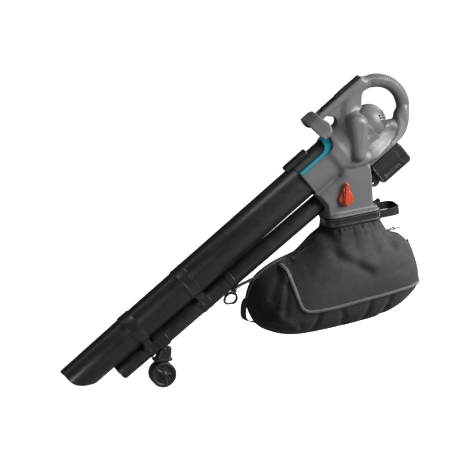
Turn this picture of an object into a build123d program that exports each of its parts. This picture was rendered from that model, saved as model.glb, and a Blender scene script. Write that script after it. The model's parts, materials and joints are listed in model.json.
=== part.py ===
from build123d import *
import math
import os

# ---------------------------------------------------------------------------------------------
# Cordless leaf blower and vacuum mulcher, in its working attitude on its support wheels.
#
# Row frame: +X to the rear, +Y to the machine's right, +Z up.  The origin is the point on the
# ground midway between the two support wheels.
#
# Two tilted frames carry the inclined parts:
#   tube frame    x = distance s along the suction tube from its mouth, z = height v above the
#                 tube's axis.  Everything on the motor head is drawn in it too.
#   blower frame  x = distance b along the blower tube, which runs under the suction tube.
# ---------------------------------------------------------------------------------------------

# frames
TUBE_TILT = 38.5
TUBE_X = -277.9
TUBE_Z = 29.6
BLOWER_DROP = 76.3
BLOWER_DIVERGENCE = 0.79
FIT = 0.05
WALL = 2.2

# suction tube, three sections
MOUTH_R = 48.0
NOZZLE_R = 50.0
MIDDLE_R = 50.5
UPPER_R = 52.5
COLLAR_R = 52.6
COLLAR_1 = (225.0, 263.0)
COLLAR_2 = (431.0, 470.0)
UPPER_END = 1003.0
MOUTH_CUT_Z = 32.0
MOUTH_CORNER_R = 26.0

# blower tube, three sections
BLOWER_NOZZLE_R = 24.0
BLOWER_MIDDLE_R = 26.3
BLOWER_UPPER_R = 27.3
BLOWER_TIP = 127.0
BLOWER_JOINT_1 = (229.0, 262.0)
BLOWER_JOINT_2 = (433.0, 470.0)
BLOWER_END = 911.0
BLOWER_CUT_Z = 37.0
BLOWER_CORNER_R = 12.0
BLOWER_NECK_R = BLOWER_NOZZLE_R - 0.2
SLEEVE_STOP = 16.0
LOWER_SLEEVE_R = BLOWER_MIDDLE_R - 0.3
UPPER_SLEEVE_R = BLOWER_UPPER_R + 1.0

# saddles between the two tubes
SADDLE_HALF = 25.0
SADDLE_V = (-68.0, -40.0)

# clip band, bail and eyelet for the strap
HOOK_BAND = (543.0, 561.0)
HOOK_BAND_T = 2.6
BAIL_HALF = 5.0
EYELET_AT = (230.0, -6.7, 276.0)
EYELET_R = 6.5
EYELET_WIRE_R = 1.6

# support wheels
WHEEL_R = 38.0
WHEEL_W = 16.0
WHEEL_INNER_Y = 6.0
AXLE_R = 4.0
AXLE_HALF = 24.5
STEM_COLLAR = (265.0, 302.0)
STEM_COLLAR_R = 29.3
STEM_TOP_X = 9.0
STEM_TOP_Z = 112.0
FENDER_LENGTH = 57.0
FENDER_WIDTH = 45.0
FENDER_Z = 79.0
FENDER_T = 6.0
AXLE_BOSS_R = 9.5
AXLE_BOSS_HALF = 5.5
WHEEL_WINDOWS = 5
WHEEL_WINDOW_R = 3.4
WHEEL_WINDOW_RING_R = 20.5

# head: inlet socket, fan, motor
HEAD_FRONT = 903.0
SOCKET_R = 55.5
SOCKET = (900.0, 1041.0)
CRADLE_R = 59.5
CRADLE_TOP = 30.0
FAN_R = 64.0
FAN_START = 1012.0
FAN_END = 1098.0
CHAMBER = (1045.0, 1094.0)
CHAMBER_R = 60.0
IMPELLER_R = 55.0
SHAFT_R = 4.0
BEARING_R = 10.0
MOTOR_BODY_R = 50.0
MOTOR_BORE_R = MOTOR_BODY_R - 4.0
DOME_START = 1152.0
DOME_SHOULDER = 1166.0
DOME_END = 1213.0
SHELL = 3.0
BULGE_TOP = (575.0, 757.0)
BULGE_TOP_R = 31.0
BULGE_LOW = (582.0, 669.0)
BULGE_LOW_R = 22.0
BULGE_Y = 78.0

# fan and motor, each with its span along the shaft
SHAFT_SPAN = (1042.0, 1190.0)
HUB_R = 16.0
HUB_SPAN = (1055.0, 1092.0)
BACK_PLATE_START = 1089.0
VANE_SPAN = (1062.0, 1090.0)
VANES = 6
CHOPPER_SPAN = (1051.0, 1054.5)
CHOPPER_HALF = 48.0
NUT_START = 1045.0
NUT_R = 7.5
NUT_H = 5.9
PRESS = 0.02
FRONT_BEARING = (1095.0, 1101.0)
REAR_BEARING = (1172.0, 1179.0)
STATOR_SPAN = (1110.0, 1160.0)
STATOR_BORE_R = 28.0
STATOR_SLOTS = 12
CORE_SPAN = (1108.0, 1162.0)
CORE_R = 27.2
END_PLATE_SPAN = (1166.0, 1172.0)
END_PLATE_BOSS = 1180.0
VENT_START = 1186.0
VENT_HALF = 31.0
VENT_PITCH = 7.2
VENTS = 7

# shell screws: where each crosses the head, in the tube frame
SCREWS = [(1140.0, 88.0), (1250.0, 82.0), (1281.0, 15.0), (1225.0, -62.0)]
SCREW_R = 2.0
SCREW_HEAD_R = 3.6
BOSS_R = 5.4
POST_HALF = 17.0

# ring handle and beam
RING_X = 649.0
RING_Z = 789.0
RING_R = 83.0
GRIP_T = 38.0
GRIP_W = 36.0
BEAM_TOP = 125.0
BEAM_BOTTOM = 104.0
BEAM_HALF = 20.0
BEAM = (1054.0, 1226.0)
PANEL = (1076.0, 1224.0)
PANEL_HALF = 12.0
SLIDER = (1146.0, 1178.0)
SLIDER_TRAVEL = 30.0
WEB_HALF = 11.0

# front handle
HOOD = (1013.0, 1053.0)
HOOD_SKIN = 4.5
HOOD_DEPTH = 17.0
HOOD_REAR_WALL = 6.0
HOOD_TOP = 136.0
HOOD_TIP_Y = 80.0
HOOD_TIP_V = 78.0

# outlet, mode selector and bag collar
DUCT_HALF = 52.0
DRUM_X = 545.0
DRUM_Z = 538.5
DRUM_R = 42.0
DRUM_HALF = 43.9
DRUM_SPAN = 95.0
DRUM_REST = 190.0
DRUM_T = 3.0
DRUM_HUB_R = 11.0
STUB_R = 7.0
STUB_LEFT_Y = -57.0
LEVER_R = 23.0
LEVER_TIP_R = 9.5
LEVER_REACH = 40.0
LEVER_T = 8.0
RIDGE_HALF = 5.0
RIDGE_H = 18.0
LEVER_SCREW_R = 2.0
LEVER_SCREW_HEAD_R = 4.0
LEVER_SEAT_Y = -66.0
FLANGE_X = 577.0
FLANGE_Z = 488.0
FLANGE_TILT = 7.0
FLANGE_REACH = (-88.0, 73.0)
FLANGE_WIDTH = 114.0
FLANGE_FRONT_R = 38.0
FLANGE_REAR_R = 14.0
FLANGE_T = 8.0
SEAL_T = 2.0
COLLAR_H = 26.0
COLLAR_MARGIN = 3.0
LATCH_HALF = 12.5
LATCH_PIN_R = 1.8
LATCH_PIN_HALF = 17.5
LATCH_PIN_X = FLANGE_REACH[1] + 8.0
LATCH_PIN_Z = -8.0
OUTLET = (-61.0, 15.0)
OUTLET_HALF = 42.0

# eye for a shoulder strap, under the battery
STRAP_EYE_X = 647.0
STRAP_EYE_Z = 565.0
STRAP_EYE_R = 4.0
STRAP_EYE_HALF = 6.0

# battery
BATTERY_S = (1070.0, 1186.0)
BATTERY_V = (-168.0, -99.0)
BATTERY_SEAM = -137.0
BATTERY_ROOM = ((1077.0, 1179.0), (-33.5, 33.5), (-164.5, -118.0))
BATTERY_HALF = 38.0
CELL_R = 9.1
CELL_LENGTH = 65.0
CELL_PITCH = 19.0
CELL_START = 1090.0
CELL_ROWS = (-128.5, -148.5)

# dock rails, and the grooves in the battery that run on them
RAIL_SPAN = (1078.0, 1150.0)
RAIL_INNER_Y = 21.0
RAIL_WEB_Y = 24.0
RAIL_FOOT_Y = 28.5
RAIL_V = (-108.0, -105.0)
RAIL_PLAY = 0.6

# release button in the battery's rear end
BUTTON_HALF = 14.0
BUTTON_S = (1176.0, 1187.5)
BUTTON_V = (-114.0, -102.0)

# bag
BAG_WALL = 3.0
LOOP_REACH = 62.0
LOOP_H = 20.0
LOOP_HALF = 44.0
LOOP_T = 3.0
LOOP_CORNER_R = 24.0
LOOP_Z = -27.0
D_RING_X = 712.5
D_RING_Z = 424.0
D_RING_R = 10.0
D_RING_WIRE_R = 1.5


# ------------------------------------------------------------------------------------ helpers
def to_row(shape):
    """Tube frame to row frame."""
    return Location((TUBE_X, 0, TUBE_Z), (0, -TUBE_TILT, 0)) * shape


def from_blower(shape):
    """Blower frame to row frame."""
    return to_row(Pos(0, 0, -BLOWER_DROP) * Rot(0, BLOWER_DIVERGENCE, 0) * shape)


def from_flange(shape):
    """Outlet flange frame to row frame: x along the flange to the rear, z out of the head."""
    return Location((FLANGE_X, 0, FLANGE_Z), (0, -FLANGE_TILT, 0)) * shape


def side_face(points):
    """Face in the X-Z plane from its corners."""
    return Plane.XZ * make_face(Polyline(*points, close=True))


def side_plate(points, half, y=0.0):
    """Plate of the given side outline, reaching half to each side of y."""
    return Pos(0, y, 0) * extrude(side_face(points), amount=half, both=True)


def turned(points):
    """Solid of revolution about the X axis from an outline of (along, radius) corners."""
    return revolve(side_face(points), Axis.X)


def tube(r_out, r_in, start, end):
    """Plain tube along X."""
    return turned([(start, r_in), (start, r_out), (end, r_out), (end, r_in)])


STANDING = (Align.CENTER, Align.CENTER, Align.MIN)


def rod(r, start, end, y=0.0, z=0.0):
    """Cylinder along X."""
    return Pos(start, y, z) * Rot(0, 90, 0) * Cylinder(r, end - start, align=STANDING)


def cross_pin(r, y0, y1, x=0.0, z=0.0):
    """Cylinder along Y from y0 to y1."""
    return Pos(x, y1, z) * Rot(90, 0, 0) * Cylinder(r, y1 - y0, align=STANDING)


def block(x, y, z):
    """Box between the given limits on each axis."""
    size = (x[1] - x[0], y[1] - y[0], z[1] - z[0])
    return Pos((x[0] + x[1]) / 2, (y[0] + y[1]) / 2, (z[0] + z[1]) / 2) * Box(*size)


def soft_block(x, y, z, radius):
    """Box between the given limits with every edge rounded."""
    body = block(x, y, z)
    return fillet(body.edges(), radius)


def point_at(s, v):
    """Row X and Z of a point in the tube frame."""
    a = math.radians(TUBE_TILT)
    return (TUBE_X + s * math.cos(a) - v * math.sin(a), TUBE_Z + s * math.sin(a) + v * math.cos(a))


def keep_side(shape, side):
    """The half of a shape on one side of the Y = 0 plane."""
    reach = 400.0
    y = (0.0, reach) if side > 0 else (-reach, 0.0)
    return shape & block((200.0, 900.0), y, (400.0, 1000.0))


# ------------------------------------------------------------------------------ suction tube
def mouth_cutter(start, cut_z, corner_r, reach):
    """Everything in front of a square-cut mouth whose lower part is cut level with the ground."""
    slope = math.radians(TUBE_TILT)
    corner_v = (cut_z - TUBE_Z - start * math.sin(slope)) / math.cos(slope)
    corner = (start, corner_v)
    far = (start + reach * math.cos(slope), corner_v - reach * math.sin(slope))
    ahead = start - reach
    outline = Polyline((start, reach), corner, far, (ahead, far[1]), (ahead, reach), close=True)
    face = Plane.XZ * fillet(make_face(outline).vertices().sort_by_distance(Vector(*corner, 0))[0], corner_r)
    return extrude(face, amount=reach, both=True)


def suction_nozzle():
    s0, s1 = COLLAR_1
    outline = [(-5, MOUTH_R - WALL), (-5, MOUTH_R), (s0 - 3, NOZZLE_R), (s0, COLLAR_R + 0.4),
               (s1, COLLAR_R + 0.4), (s1, MIDDLE_R + FIT), (s0 + 3, MIDDLE_R + FIT),
               (s0 + 3, NOZZLE_R - WALL)]
    return to_row(turned(outline) - mouth_cutter(0, MOUTH_CUT_Z, MOUTH_CORNER_R, 160))


def suction_tube_middle():
    s0, s1 = COLLAR_2
    outline = [(COLLAR_1[0] + 3.2, MIDDLE_R - WALL), (COLLAR_1[0] + 3.2, MIDDLE_R), (s0 - 2, MIDDLE_R),
               (s0, COLLAR_R + 0.9), (s1, COLLAR_R + 0.9), (s1, MIDDLE_R + FIT), (s0 + 3, MIDDLE_R + FIT),
               (s0 + 3, MIDDLE_R - WALL)]
    body = turned(outline)
    for angle in (205, 235):
        slot = block((s0 + 12, s0 + 19), (-4.5, 4.5), (MIDDLE_R - 1, COLLAR_R + 6))
        body -= Rot(angle, 0, 0) * slot
    return to_row(body)


def suction_tube_upper():
    s1 = COLLAR_2[1]
    neck = COLLAR_2[0] + 3.2
    outline = [(neck, MIDDLE_R - WALL), (neck, MIDDLE_R), (s1 + 0.1, MIDDLE_R), (s1 + 0.1, UPPER_R),
               (UPPER_END, UPPER_R), (UPPER_END, UPPER_R - WALL), (s1 + 4, UPPER_R - WALL),
               (s1 + 1, MIDDLE_R - WALL)]
    return to_row(turned(outline))


# ------------------------------------------------------------------------------- blower tube
def blower_nozzle():
    end = BLOWER_JOINT_1[0] + SLEEVE_STOP - 1
    body = from_blower(tube(BLOWER_NOZZLE_R, BLOWER_NOZZLE_R - WALL, BLOWER_TIP - 20, end))
    return body - to_row(mouth_cutter(BLOWER_TIP, BLOWER_CUT_Z, BLOWER_CORNER_R, 140))


def blower_coupling(joint, lower_r, upper_r, outer_r):
    """Sleeve that joins two blower sections, each pushed into one end of it."""
    b0, b1 = joint
    stop = b0 + SLEEVE_STOP
    outline = [(b0, lower_r + FIT), (b0, outer_r - 0.8), (b0 + 1.5, outer_r), (b1 - 1.5, outer_r),
               (b1, outer_r - 0.8), (b1, upper_r + FIT), (stop + 1, upper_r + FIT), (stop + 1, lower_r - 1.0),
               (stop, lower_r - 1.0), (stop, lower_r + FIT)]
    return from_blower(turned(outline))


def blower_coupling_lower():
    return blower_coupling(BLOWER_JOINT_1, BLOWER_NOZZLE_R, BLOWER_NECK_R, LOWER_SLEEVE_R)


def blower_tube_middle():
    b0, b1 = BLOWER_JOINT_1[1], BLOWER_JOINT_2[0]
    start = BLOWER_JOINT_1[0] + SLEEVE_STOP + 1.2
    step = b0 + 0.3
    end = b1 + SLEEVE_STOP - 0.2
    outline = [(start, BLOWER_NECK_R - WALL), (start, BLOWER_NECK_R), (step, BLOWER_NECK_R),
               (step, BLOWER_MIDDLE_R), (end, BLOWER_MIDDLE_R), (end, BLOWER_NECK_R - WALL)]
    return from_blower(turned(outline))


def blower_coupling_upper():
    return blower_coupling(BLOWER_JOINT_2, BLOWER_MIDDLE_R, BLOWER_MIDDLE_R, UPPER_SLEEVE_R)


def blower_tube_upper():
    start = BLOWER_JOINT_2[0] + SLEEVE_STOP + 1.2
    step = BLOWER_JOINT_2[1] + 0.3
    outline = [(start, BLOWER_MIDDLE_R - WALL), (start, BLOWER_MIDDLE_R), (step, BLOWER_MIDDLE_R),
               (step, BLOWER_UPPER_R), (BLOWER_END, BLOWER_UPPER_R), (BLOWER_END, BLOWER_UPPER_R - WALL),
               (step + 4, BLOWER_UPPER_R - WALL), (step + 1, BLOWER_MIDDLE_R - WALL)]
    return from_blower(turned(outline))


def tube_bridge(start, end, big_r, small_r):
    """Saddle that fills the valley between the two tubes and holds them together."""
    body = block((start, end), (-SADDLE_HALF, SADDLE_HALF), SADDLE_V)
    body -= rod(big_r + FIT, start - 1, end + 1)
    return to_row(body) - from_blower(rod(small_r + FIT, start - 5, end + 5))


def tube_bridges():
    """The two saddles, one at each joint of the tubes."""
    lower = tube_bridge(COLLAR_1[0] + 9, COLLAR_1[1] - 6, COLLAR_R + 0.4, LOWER_SLEEVE_R)
    upper = tube_bridge(COLLAR_2[0] + 8, COLLAR_2[1] - 5, COLLAR_R + 0.9, UPPER_SLEEVE_R)
    return [lower, upper]


# ---------------------------------------------------------------------------- support wheels
def wheel_bracket():
    """Clamp collar on the blower tube, tapered stem, fender band and axle blade."""
    b0, b1 = STEM_COLLAR
    collar = from_blower(rod(STEM_COLLAR_R, b0, b1))
    low = Plane.XY.offset(FENDER_Z) * RectangleRounded(FENDER_LENGTH - 9, 36, 12)
    above = Plane.XY.offset(STEM_TOP_Z).move(Location((STEM_TOP_X, 0, 0)))
    stem = loft([low, above * RectangleRounded(36, 34, 12)])
    band = Pos(0, 0, FENDER_Z) * extrude(RectangleRounded(FENDER_LENGTH, FENDER_WIDTH, 14), amount=FENDER_T)
    blade = side_plate([(-13, FENDER_Z + 1), (-8, WHEEL_R), (8, WHEEL_R), (13, FENDER_Z + 1)], 4.0)
    boss = cross_pin(AXLE_BOSS_R, -AXLE_BOSS_HALF, AXLE_BOSS_HALF, 0, WHEEL_R)
    body = collar + stem + band + blade + boss
    body -= from_blower(rod(BLOWER_MIDDLE_R + FIT, b0 - 20, b1 + 20))
    body -= to_row(rod(MIDDLE_R + 0.6, b0 - 30, b1 + 30))
    return body - cross_pin(AXLE_R + FIT, -8, 8, 0, WHEEL_R)


def wheel_axle():
    return cross_pin(AXLE_R, -AXLE_HALF, AXLE_HALF, 0, WHEEL_R)


def wheel(side):
    """Moulded wheel with a rounded tread, a dished outer face and a raised hub."""
    y0, y1 = WHEEL_INNER_Y, WHEEL_INNER_Y + WHEEL_W
    bore = AXLE_R + FIT
    outline = [(y0, bore), (y0, 10), (y0 + 2.5, 12), (y0 + 2.5, 29), (y0, 31), (y0, WHEEL_R - 2.5),
               (y0 + 2.5, WHEEL_R), (y1 - 4, WHEEL_R), (y1 - 1.2, WHEEL_R - 1.6), (y1, WHEEL_R - 5),
               (y1, 29), (y1 - 4, 26), (y1 - 5, 14), (y1 - 1, 10.5), (y1 - 1, bore)]
    body = Rot(0, 0, 90) * turned(outline)
    for k in range(WHEEL_WINDOWS):
        window = cross_pin(WHEEL_WINDOW_R, y0 - 1, y1 + 1, 0, WHEEL_WINDOW_RING_R)
        body -= Rot(0, 360 / WHEEL_WINDOWS * k, 0) * window
    placed = Pos(0, 0, WHEEL_R) * body
    return placed if side > 0 else mirror(placed, Plane.XZ)


def axle_caps():
    """Two pressed caps that keep the wheels on the axle."""
    outer = WHEEL_INNER_Y + WHEEL_W
    outline = [(outer + 0.3, AXLE_R), (outer + 0.3, 8.0), (outer + 1.5, 9.0), (outer + 3.3, 7.5),
               (outer + 4.5, 4.5), (outer + 4.8, 0), (AXLE_HALF, 0), (AXLE_HALF, AXLE_R)]
    cap = Pos(0, 0, WHEEL_R) * Rot(0, 0, 90) * turned(outline)
    return [cap, mirror(cap, Plane.XZ)]


# -------------------------------------------------------------------------- strap anchorage
def strap_hook():
    """Clip band round the blower tube with the flat-bar bail that hangs under it."""
    start, end = HOOK_BAND
    band = from_blower(tube(BLOWER_UPPER_R + HOOK_BAND_T, BLOWER_UPPER_R + FIT, start, end))
    outer = side_plate([(186, 240), (192, 232), (222, 236), (229, 244), (225, 262), (214, 268), (196, 262)],
                       BAIL_HALF)
    inner = side_plate([(193, 242), (196, 239), (219, 242), (222, 246), (219, 257), (212, 261), (200, 257)],
                       BAIL_HALF + 1)
    neck = side_plate([(205, 262), (222, 262), (232, 283), (218, 292)], BAIL_HALF - 1)
    neck -= from_blower(rod(BLOWER_UPPER_R + 1, start - 13, end + 19))
    return band + (outer - inner) + neck


def strap_eyelet():
    """Wire eye on the side of the bail neck that takes the strap's end."""
    return Pos(*EYELET_AT) * Rot(90, 0, 0) * Torus(EYELET_R, EYELET_WIRE_R)


# ----------------------------------------------------------------------------------- head
def bulge(side):
    """Tall pill-shaped bulge on the fan housing's side."""
    x0, z0 = BULGE_TOP
    x1, z1 = BULGE_LOW
    angle = math.atan2(z1 - z0, x1 - x0)
    nx, nz = -math.sin(angle), math.cos(angle)
    quad = [(x0 + nx * BULGE_TOP_R, z0 + nz * BULGE_TOP_R), (x0 - nx * BULGE_TOP_R, z0 - nz * BULGE_TOP_R),
            (x1 - nx * BULGE_LOW_R, z1 - nz * BULGE_LOW_R), (x1 + nx * BULGE_LOW_R, z1 + nz * BULGE_LOW_R)]
    pill = side_face(quad) + Plane.XZ * (Pos(x0, z0) * Circle(BULGE_TOP_R))
    pill += Plane.XZ * (Pos(x1, z1) * Circle(BULGE_LOW_R))
    body = extrude(pill, amount=BULGE_Y)
    return body if side < 0 else mirror(body, Plane.XZ)


def ring(r_mid, thick, width, corner):
    """Full ring of rounded section, lying in the X-Z plane about the hand opening."""
    section = Pos(RING_X + r_mid, 0) * RectangleRounded(thick, width, corner)
    lathe = Axis((RING_X, 0, 0), (0, 0, 1))
    standing = revolve(Plane.XZ * section, lathe)
    turned_down = Pos(-RING_X, 0, 0) * standing
    return Pos(RING_X, 0, RING_Z) * Rot(90, 0, 0) * turned_down


# side outline of the black window that the accent trim frames, in the tube frame
TRIM_ABOVE = [(880, CRADLE_TOP), (1008, CRADLE_TOP), (1030, 38), (1039, 52), (1042, 90), (880, 90)]


def flange_face(margin):
    """Plan outline of the outlet flange, grown by a margin: blunt to the front, squarer behind."""
    x0, x1 = FLANGE_REACH[0] - margin, FLANGE_REACH[1] + margin
    half = FLANGE_WIDTH / 2 + margin
    face = make_face(Polyline((x0, -half), (x1, -half), (x1, half), (x0, half), close=True))
    face = fillet(face.vertices().group_by(Axis.X)[0], FLANGE_FRONT_R + margin)
    return fillet(face.vertices().group_by(Axis.X)[-1], FLANGE_REAR_R + margin)


def head_outer():
    """Outer form of the two housing shells together."""
    cradle = turned([(HEAD_FRONT, 0), (HEAD_FRONT, CRADLE_R - 1.5), (HEAD_FRONT + 2, CRADLE_R),
                     (FAN_START, CRADLE_R), (FAN_START, 0)])
    cradle &= block((890, 1020), (-80, 80), (-80, CRADLE_TOP))
    fan = turned([(FAN_START, 0), (FAN_START, CRADLE_R), (FAN_START + 8, FAN_R), (FAN_END + 4, FAN_R),
                  (FAN_END + 18, MOTOR_BODY_R + 4), (DOME_START, MOTOR_BODY_R + 2), (DOME_START, 0)])
    fan -= side_plate(TRIM_ABOVE, 80)
    snout = from_blower(rod(BLOWER_UPPER_R + 4.2, 900, 965))
    rear = side_plate([(1035, -38), (1035, -62), (1062, -82), (1075, -98), (1182, -98), (1205, -94),
                       (1212, -76), (1190, -55), (1170, -45), (1120, -30)], 37.0)
    foot = side_plate([(1182, -98), (1206, -98), (1238, -85), (1252, -50), (1215, -40), (1190, -55)], 20.0)
    web = side_plate([(1066, 112), (1228, 112), (1193, 76), (1168, 70), (1168, 40), (1150, 30), (1100, 40),
                      (1087, 62), (1090, 84)], WEB_HALF)
    beam = fillet(block(BEAM, (-BEAM_HALF, BEAM_HALF), (BEAM_BOTTOM, BEAM_TOP)).edges().filter_by(Axis.X), 7)
    duct = side_plate([(497, 483), (635, 501), (631, 572), (629, 590), (618, 605), (609, 619), (596, 690),
                       (540, 680), (478, 604), (466, 566), (490, 520)], DUCT_HALF)
    flange = from_flange(extrude(flange_face(0), amount=FLANGE_T))
    lug = side_plate([(622, 578), (626, 560), (644, 553), (656, 556), (660, 564), (652, 577), (626, 594)],
                     STRAP_EYE_HALF)
    body = to_row(cradle) + to_row(fan) + snout + to_row(rear) + to_row(foot) + to_row(web) + to_row(beam)
    body = body + duct + flange + lug + bulge(-1) + bulge(1) + ring(RING_R, GRIP_T, GRIP_W, 15.0)
    return body


def head_inner():
    """Hollows inside the housing shells."""
    socket = rod(SOCKET_R + FIT, 880, SOCKET[1] + 0.05)
    throat = rod(CHAMBER_R - 6, SOCKET[1], CHAMBER[0] + 1)
    chamber = rod(CHAMBER_R, *CHAMBER)
    motor = rod(MOTOR_BORE_R, FAN_END, DOME_START + 1)
    shaft_hole = rod(BEARING_R + FIT, FAN_END - 10, FAN_END + 10)
    electronics = block((1082, 1172), (-30, 30), (-92, -52))
    wire_duct = block((1120, 1136), (-10, 10), (-60, -30))
    panel_half = PANEL_HALF + 0.1
    beam = block((BEAM[0] - 1, PANEL[1] + 0.1), (-panel_half, panel_half), (BEAM_BOTTOM + 3, BEAM_TOP + 1))
    dock = block((1074, 1180), (-30, 30), (-99, -95))
    blower = from_blower(rod(BLOWER_UPPER_R + FIT, 880, BLOWER_END + 0.5))
    blower_mouth = from_blower(rod(BLOWER_UPPER_R - WALL, BLOWER_END, BLOWER_END + 18))
    duct = side_plate([(517, 478), (592, 488), (592, 590), (612, 640), (590, 665), (548, 640), (510, 600),
                       (501.5, 570), (501.5, 505), (508, 497)], DRUM_HALF + 0.3)
    rear_pocket = side_plate([(598, 512), (630, 517), (626, 566), (621, 584), (610, 596), (598, 588)], 44)
    grip = ring(RING_R, GRIP_T - 14, GRIP_W - 14, 8.0)
    outlet = from_flange(block(OUTLET, (-OUTLET_HALF, OUTLET_HALF), (-5, 20)))
    hollow = blower + blower_mouth + duct + rear_pocket + grip + outlet
    for room in (socket, throat, chamber, motor, shaft_hole, electronics, wire_duct, beam, dock):
        hollow += to_row(room)
    return hollow



def screw_bosses():
    """Posts that carry the shell screws across the hollows."""
    return [cross_pin(BOSS_R, -POST_HALF, POST_HALF, *point_at(s, v)) for s, v in SCREWS]


def screw_seat(s, v):
    """Half thickness of the head where each screw goes in."""
    return WEB_HALF if (s, v) == SCREWS[0] else POST_HALF


def housing_screws():
    """Self-tapping screws that pull the right shell onto the left one."""
    screws = []
    for s, v in SCREWS:
        seat = screw_seat(s, v)
        x, z = point_at(s, v)
        shank = cross_pin(SCREW_R, -seat + 6, seat - 4, x, z)
        head = cross_pin(SCREW_HEAD_R, seat - 4, seat - 1.6, x, z)
        screws.append(shank + head)
    return screws


def head_shell(side):
    """One housing shell."""
    hollow = head_inner()
    for post in screw_bosses():
        hollow -= post
    shell = head_outer() - hollow
    shell -= to_row(rod(MOTOR_BODY_R + 0.1, DOME_START, DOME_END))
    for s, v in SCREWS:
        seat = screw_seat(s, v)
        x, z = point_at(s, v)
        shell -= cross_pin(SCREW_R + FIT, -seat + 5.5, seat + 1, x, z)
        shell -= cross_pin(SCREW_HEAD_R + FIT, seat - 4.05, seat + 60, x, z)
    shell -= cross_pin(STUB_R + FIT, -DUCT_HALF - 1, -DRUM_HALF, DRUM_X, DRUM_Z)
    shell -= cross_pin(STUB_R + FIT, DRUM_HALF, DRUM_HALF + 5, DRUM_X, DRUM_Z)
    shell -= cross_pin(STRAP_EYE_R, -10, 10, STRAP_EYE_X, STRAP_EYE_Z)
    return keep_side(shell, side)


# ---------------------------------------------------------------------- inlet, trim, handles
def inlet_socket():
    """Black socket in the head that the suction tube pushes into."""
    s0, s1 = SOCKET
    outline = [(s0, UPPER_R + FIT), (s0, SOCKET_R), (s1, SOCKET_R), (s1, UPPER_R - 3),
               (UPPER_END + 0.5, UPPER_R - 3), (UPPER_END + 0.5, UPPER_R + FIT)]
    return to_row(turned(outline))


def accent_trim():
    """Coloured trim: a strip along each side of the socket, joined by an arch over the top."""
    shell = tube(CRADLE_R + 1.0, SOCKET_R + FIT, 905, 1043)
    edge = [(HEAD_FRONT, CRADLE_TOP + 0.1), (1008, CRADLE_TOP + 0.1), (1030, 38.1), (1038.8, 52.1),
            (1041.8, 90), (1018, 90), (1016, 56), (1010, 44), (998, 38), (HEAD_FRONT, 37.5)]
    return to_row(shell & side_plate(edge, 80))


def tube_release_button():
    """Slide on top of the socket that lets the suction tube go."""
    s0, s1 = 879.0, 963.0
    body = block((s0, s1), (-15, 15), (48, 67))
    body = fillet(body.edges().group_by(Axis.Z)[-1], 4)
    body -= rod(SOCKET_R + 0.06, s0 - 5, s1 + 5)
    for k in range(5):
        groove = block((s1 - 14 - 6 * k, s1 - 11.5 - 6 * k), (-11, 11), (66, 68))
        body -= groove
    return to_row(body)


def arch_points(grow):
    """Corners of the front handle's arch, seen along the tube, moved outwards by grow."""
    half = [(0, HOOD_TOP), (32, HOOD_TOP - 5), (60, HOOD_TOP - 22), (76, HOOD_TOP - 42),
            (HOOD_TIP_Y, HOOD_TIP_V)]
    right = [(y * (1 + grow / HOOD_TIP_Y), v + grow * (1 - y / HOOD_TIP_Y)) for y, v in half]
    return [(-y, v) for y, v in reversed(right[1:])] + right


def arch_face(grow, floor):
    """Everything under the arch, down to the floor."""
    points = arch_points(grow)
    top = Spline(*points)
    left, right = points[0], points[-1]
    sides = Polyline(right, (right[0], floor), (left[0], floor), left)
    return Plane.YZ * make_face([top, sides])


def front_handle():
    """Arched grab handle: a hood open to the front and below, its wings drooping to each side."""
    s0, s1 = HOOD
    length = s1 - s0
    arch = Pos(s0 - 4, 0, 0) * extrude(arch_face(0, 60), amount=length + 8)
    under = Pos(s0 - 6, 0, 0) * extrude(arch_face(-HOOD_DEPTH, 40), amount=length + 12)
    profile = [(s0 + 3, 142), (s1 + 0.5, 142), (s1 + 0.9, 112), (s1 - 7, HOOD_TIP_V - 2),
               (s0 + 9, HOOD_TIP_V - 5), (s0 - 1, 122)]
    body = (arch - under) & side_plate(profile, 120)
    hollow = extrude(arch_face(-HOOD_SKIN, 40), amount=length + 5 - HOOD_REAR_WALL)
    body -= Pos(s0 - 5, 0, 0) * hollow
    tongue = block((s1 - 2, 1071), (-PANEL_HALF, PANEL_HALF), (BEAM_BOTTOM + 3.1, BEAM_TOP - 1))
    collar = block((s1 - 1, BEAM[0] - 0.05), (-BEAM_HALF, BEAM_HALF), (BEAM_BOTTOM, BEAM_TOP))
    return to_row(body + tongue + collar)


def front_handle_pad():
    """Soft pad on the crown of the front handle."""
    s0, s1 = HOOD
    band = extrude(arch_face(2.2, 80) - arch_face(0.03, 70), amount=s1 - s0 - 12)
    pad = (Pos(s0 + 6, 0, 0) * band) & block((s0, s1), (-42, 42), (100, 150))
    return to_row(pad)


def grip_cover():
    """Soft sleeve over the ring handle's upper arc, open where the beam runs in."""
    grow = 1.3
    section = Pos(RING_X + RING_R, 0) * (RectangleRounded(GRIP_T + 2 * grow, GRIP_W + 2 * grow, 16.0)
                                         - RectangleRounded(GRIP_T + 0.06, GRIP_W + 0.06, 15.03))
    swept = revolve(Plane.XZ * section, Axis((RING_X, 0, 0), (0, 0, 1)), revolution_arc=104)
    upright = Rot(90, 0, 0) * (Pos(-RING_X, 0, 0) * swept)
    return Pos(RING_X, 0, RING_Z) * upright


def control_panel():
    """Black panel let into the beam, with a raised track for the slider and a window recess."""
    s0, s1 = PANEL
    plate = block((s0, s1), (-PANEL_HALF, PANEL_HALF), (BEAM_TOP - 6, BEAM_TOP + 0.6))
    rail = block((1130, s1 - 1), (-8.5, 8.5), (BEAM_TOP, BEAM_TOP + 4.2))
    rail = fillet(rail.edges().filter_by(Axis.Z), 4)
    body = plate + rail
    track = (SLIDER[0] - 2.2, SLIDER[1] + SLIDER_TRAVEL + 2.2)
    body -= block(track, (-5.6, 5.6), (BEAM_TOP - 8, BEAM_TOP + 6))
    return to_row(body - block((1082, 1121), (-5.05, 5.05), (BEAM_TOP - 1, BEAM_TOP + 2)))


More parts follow.
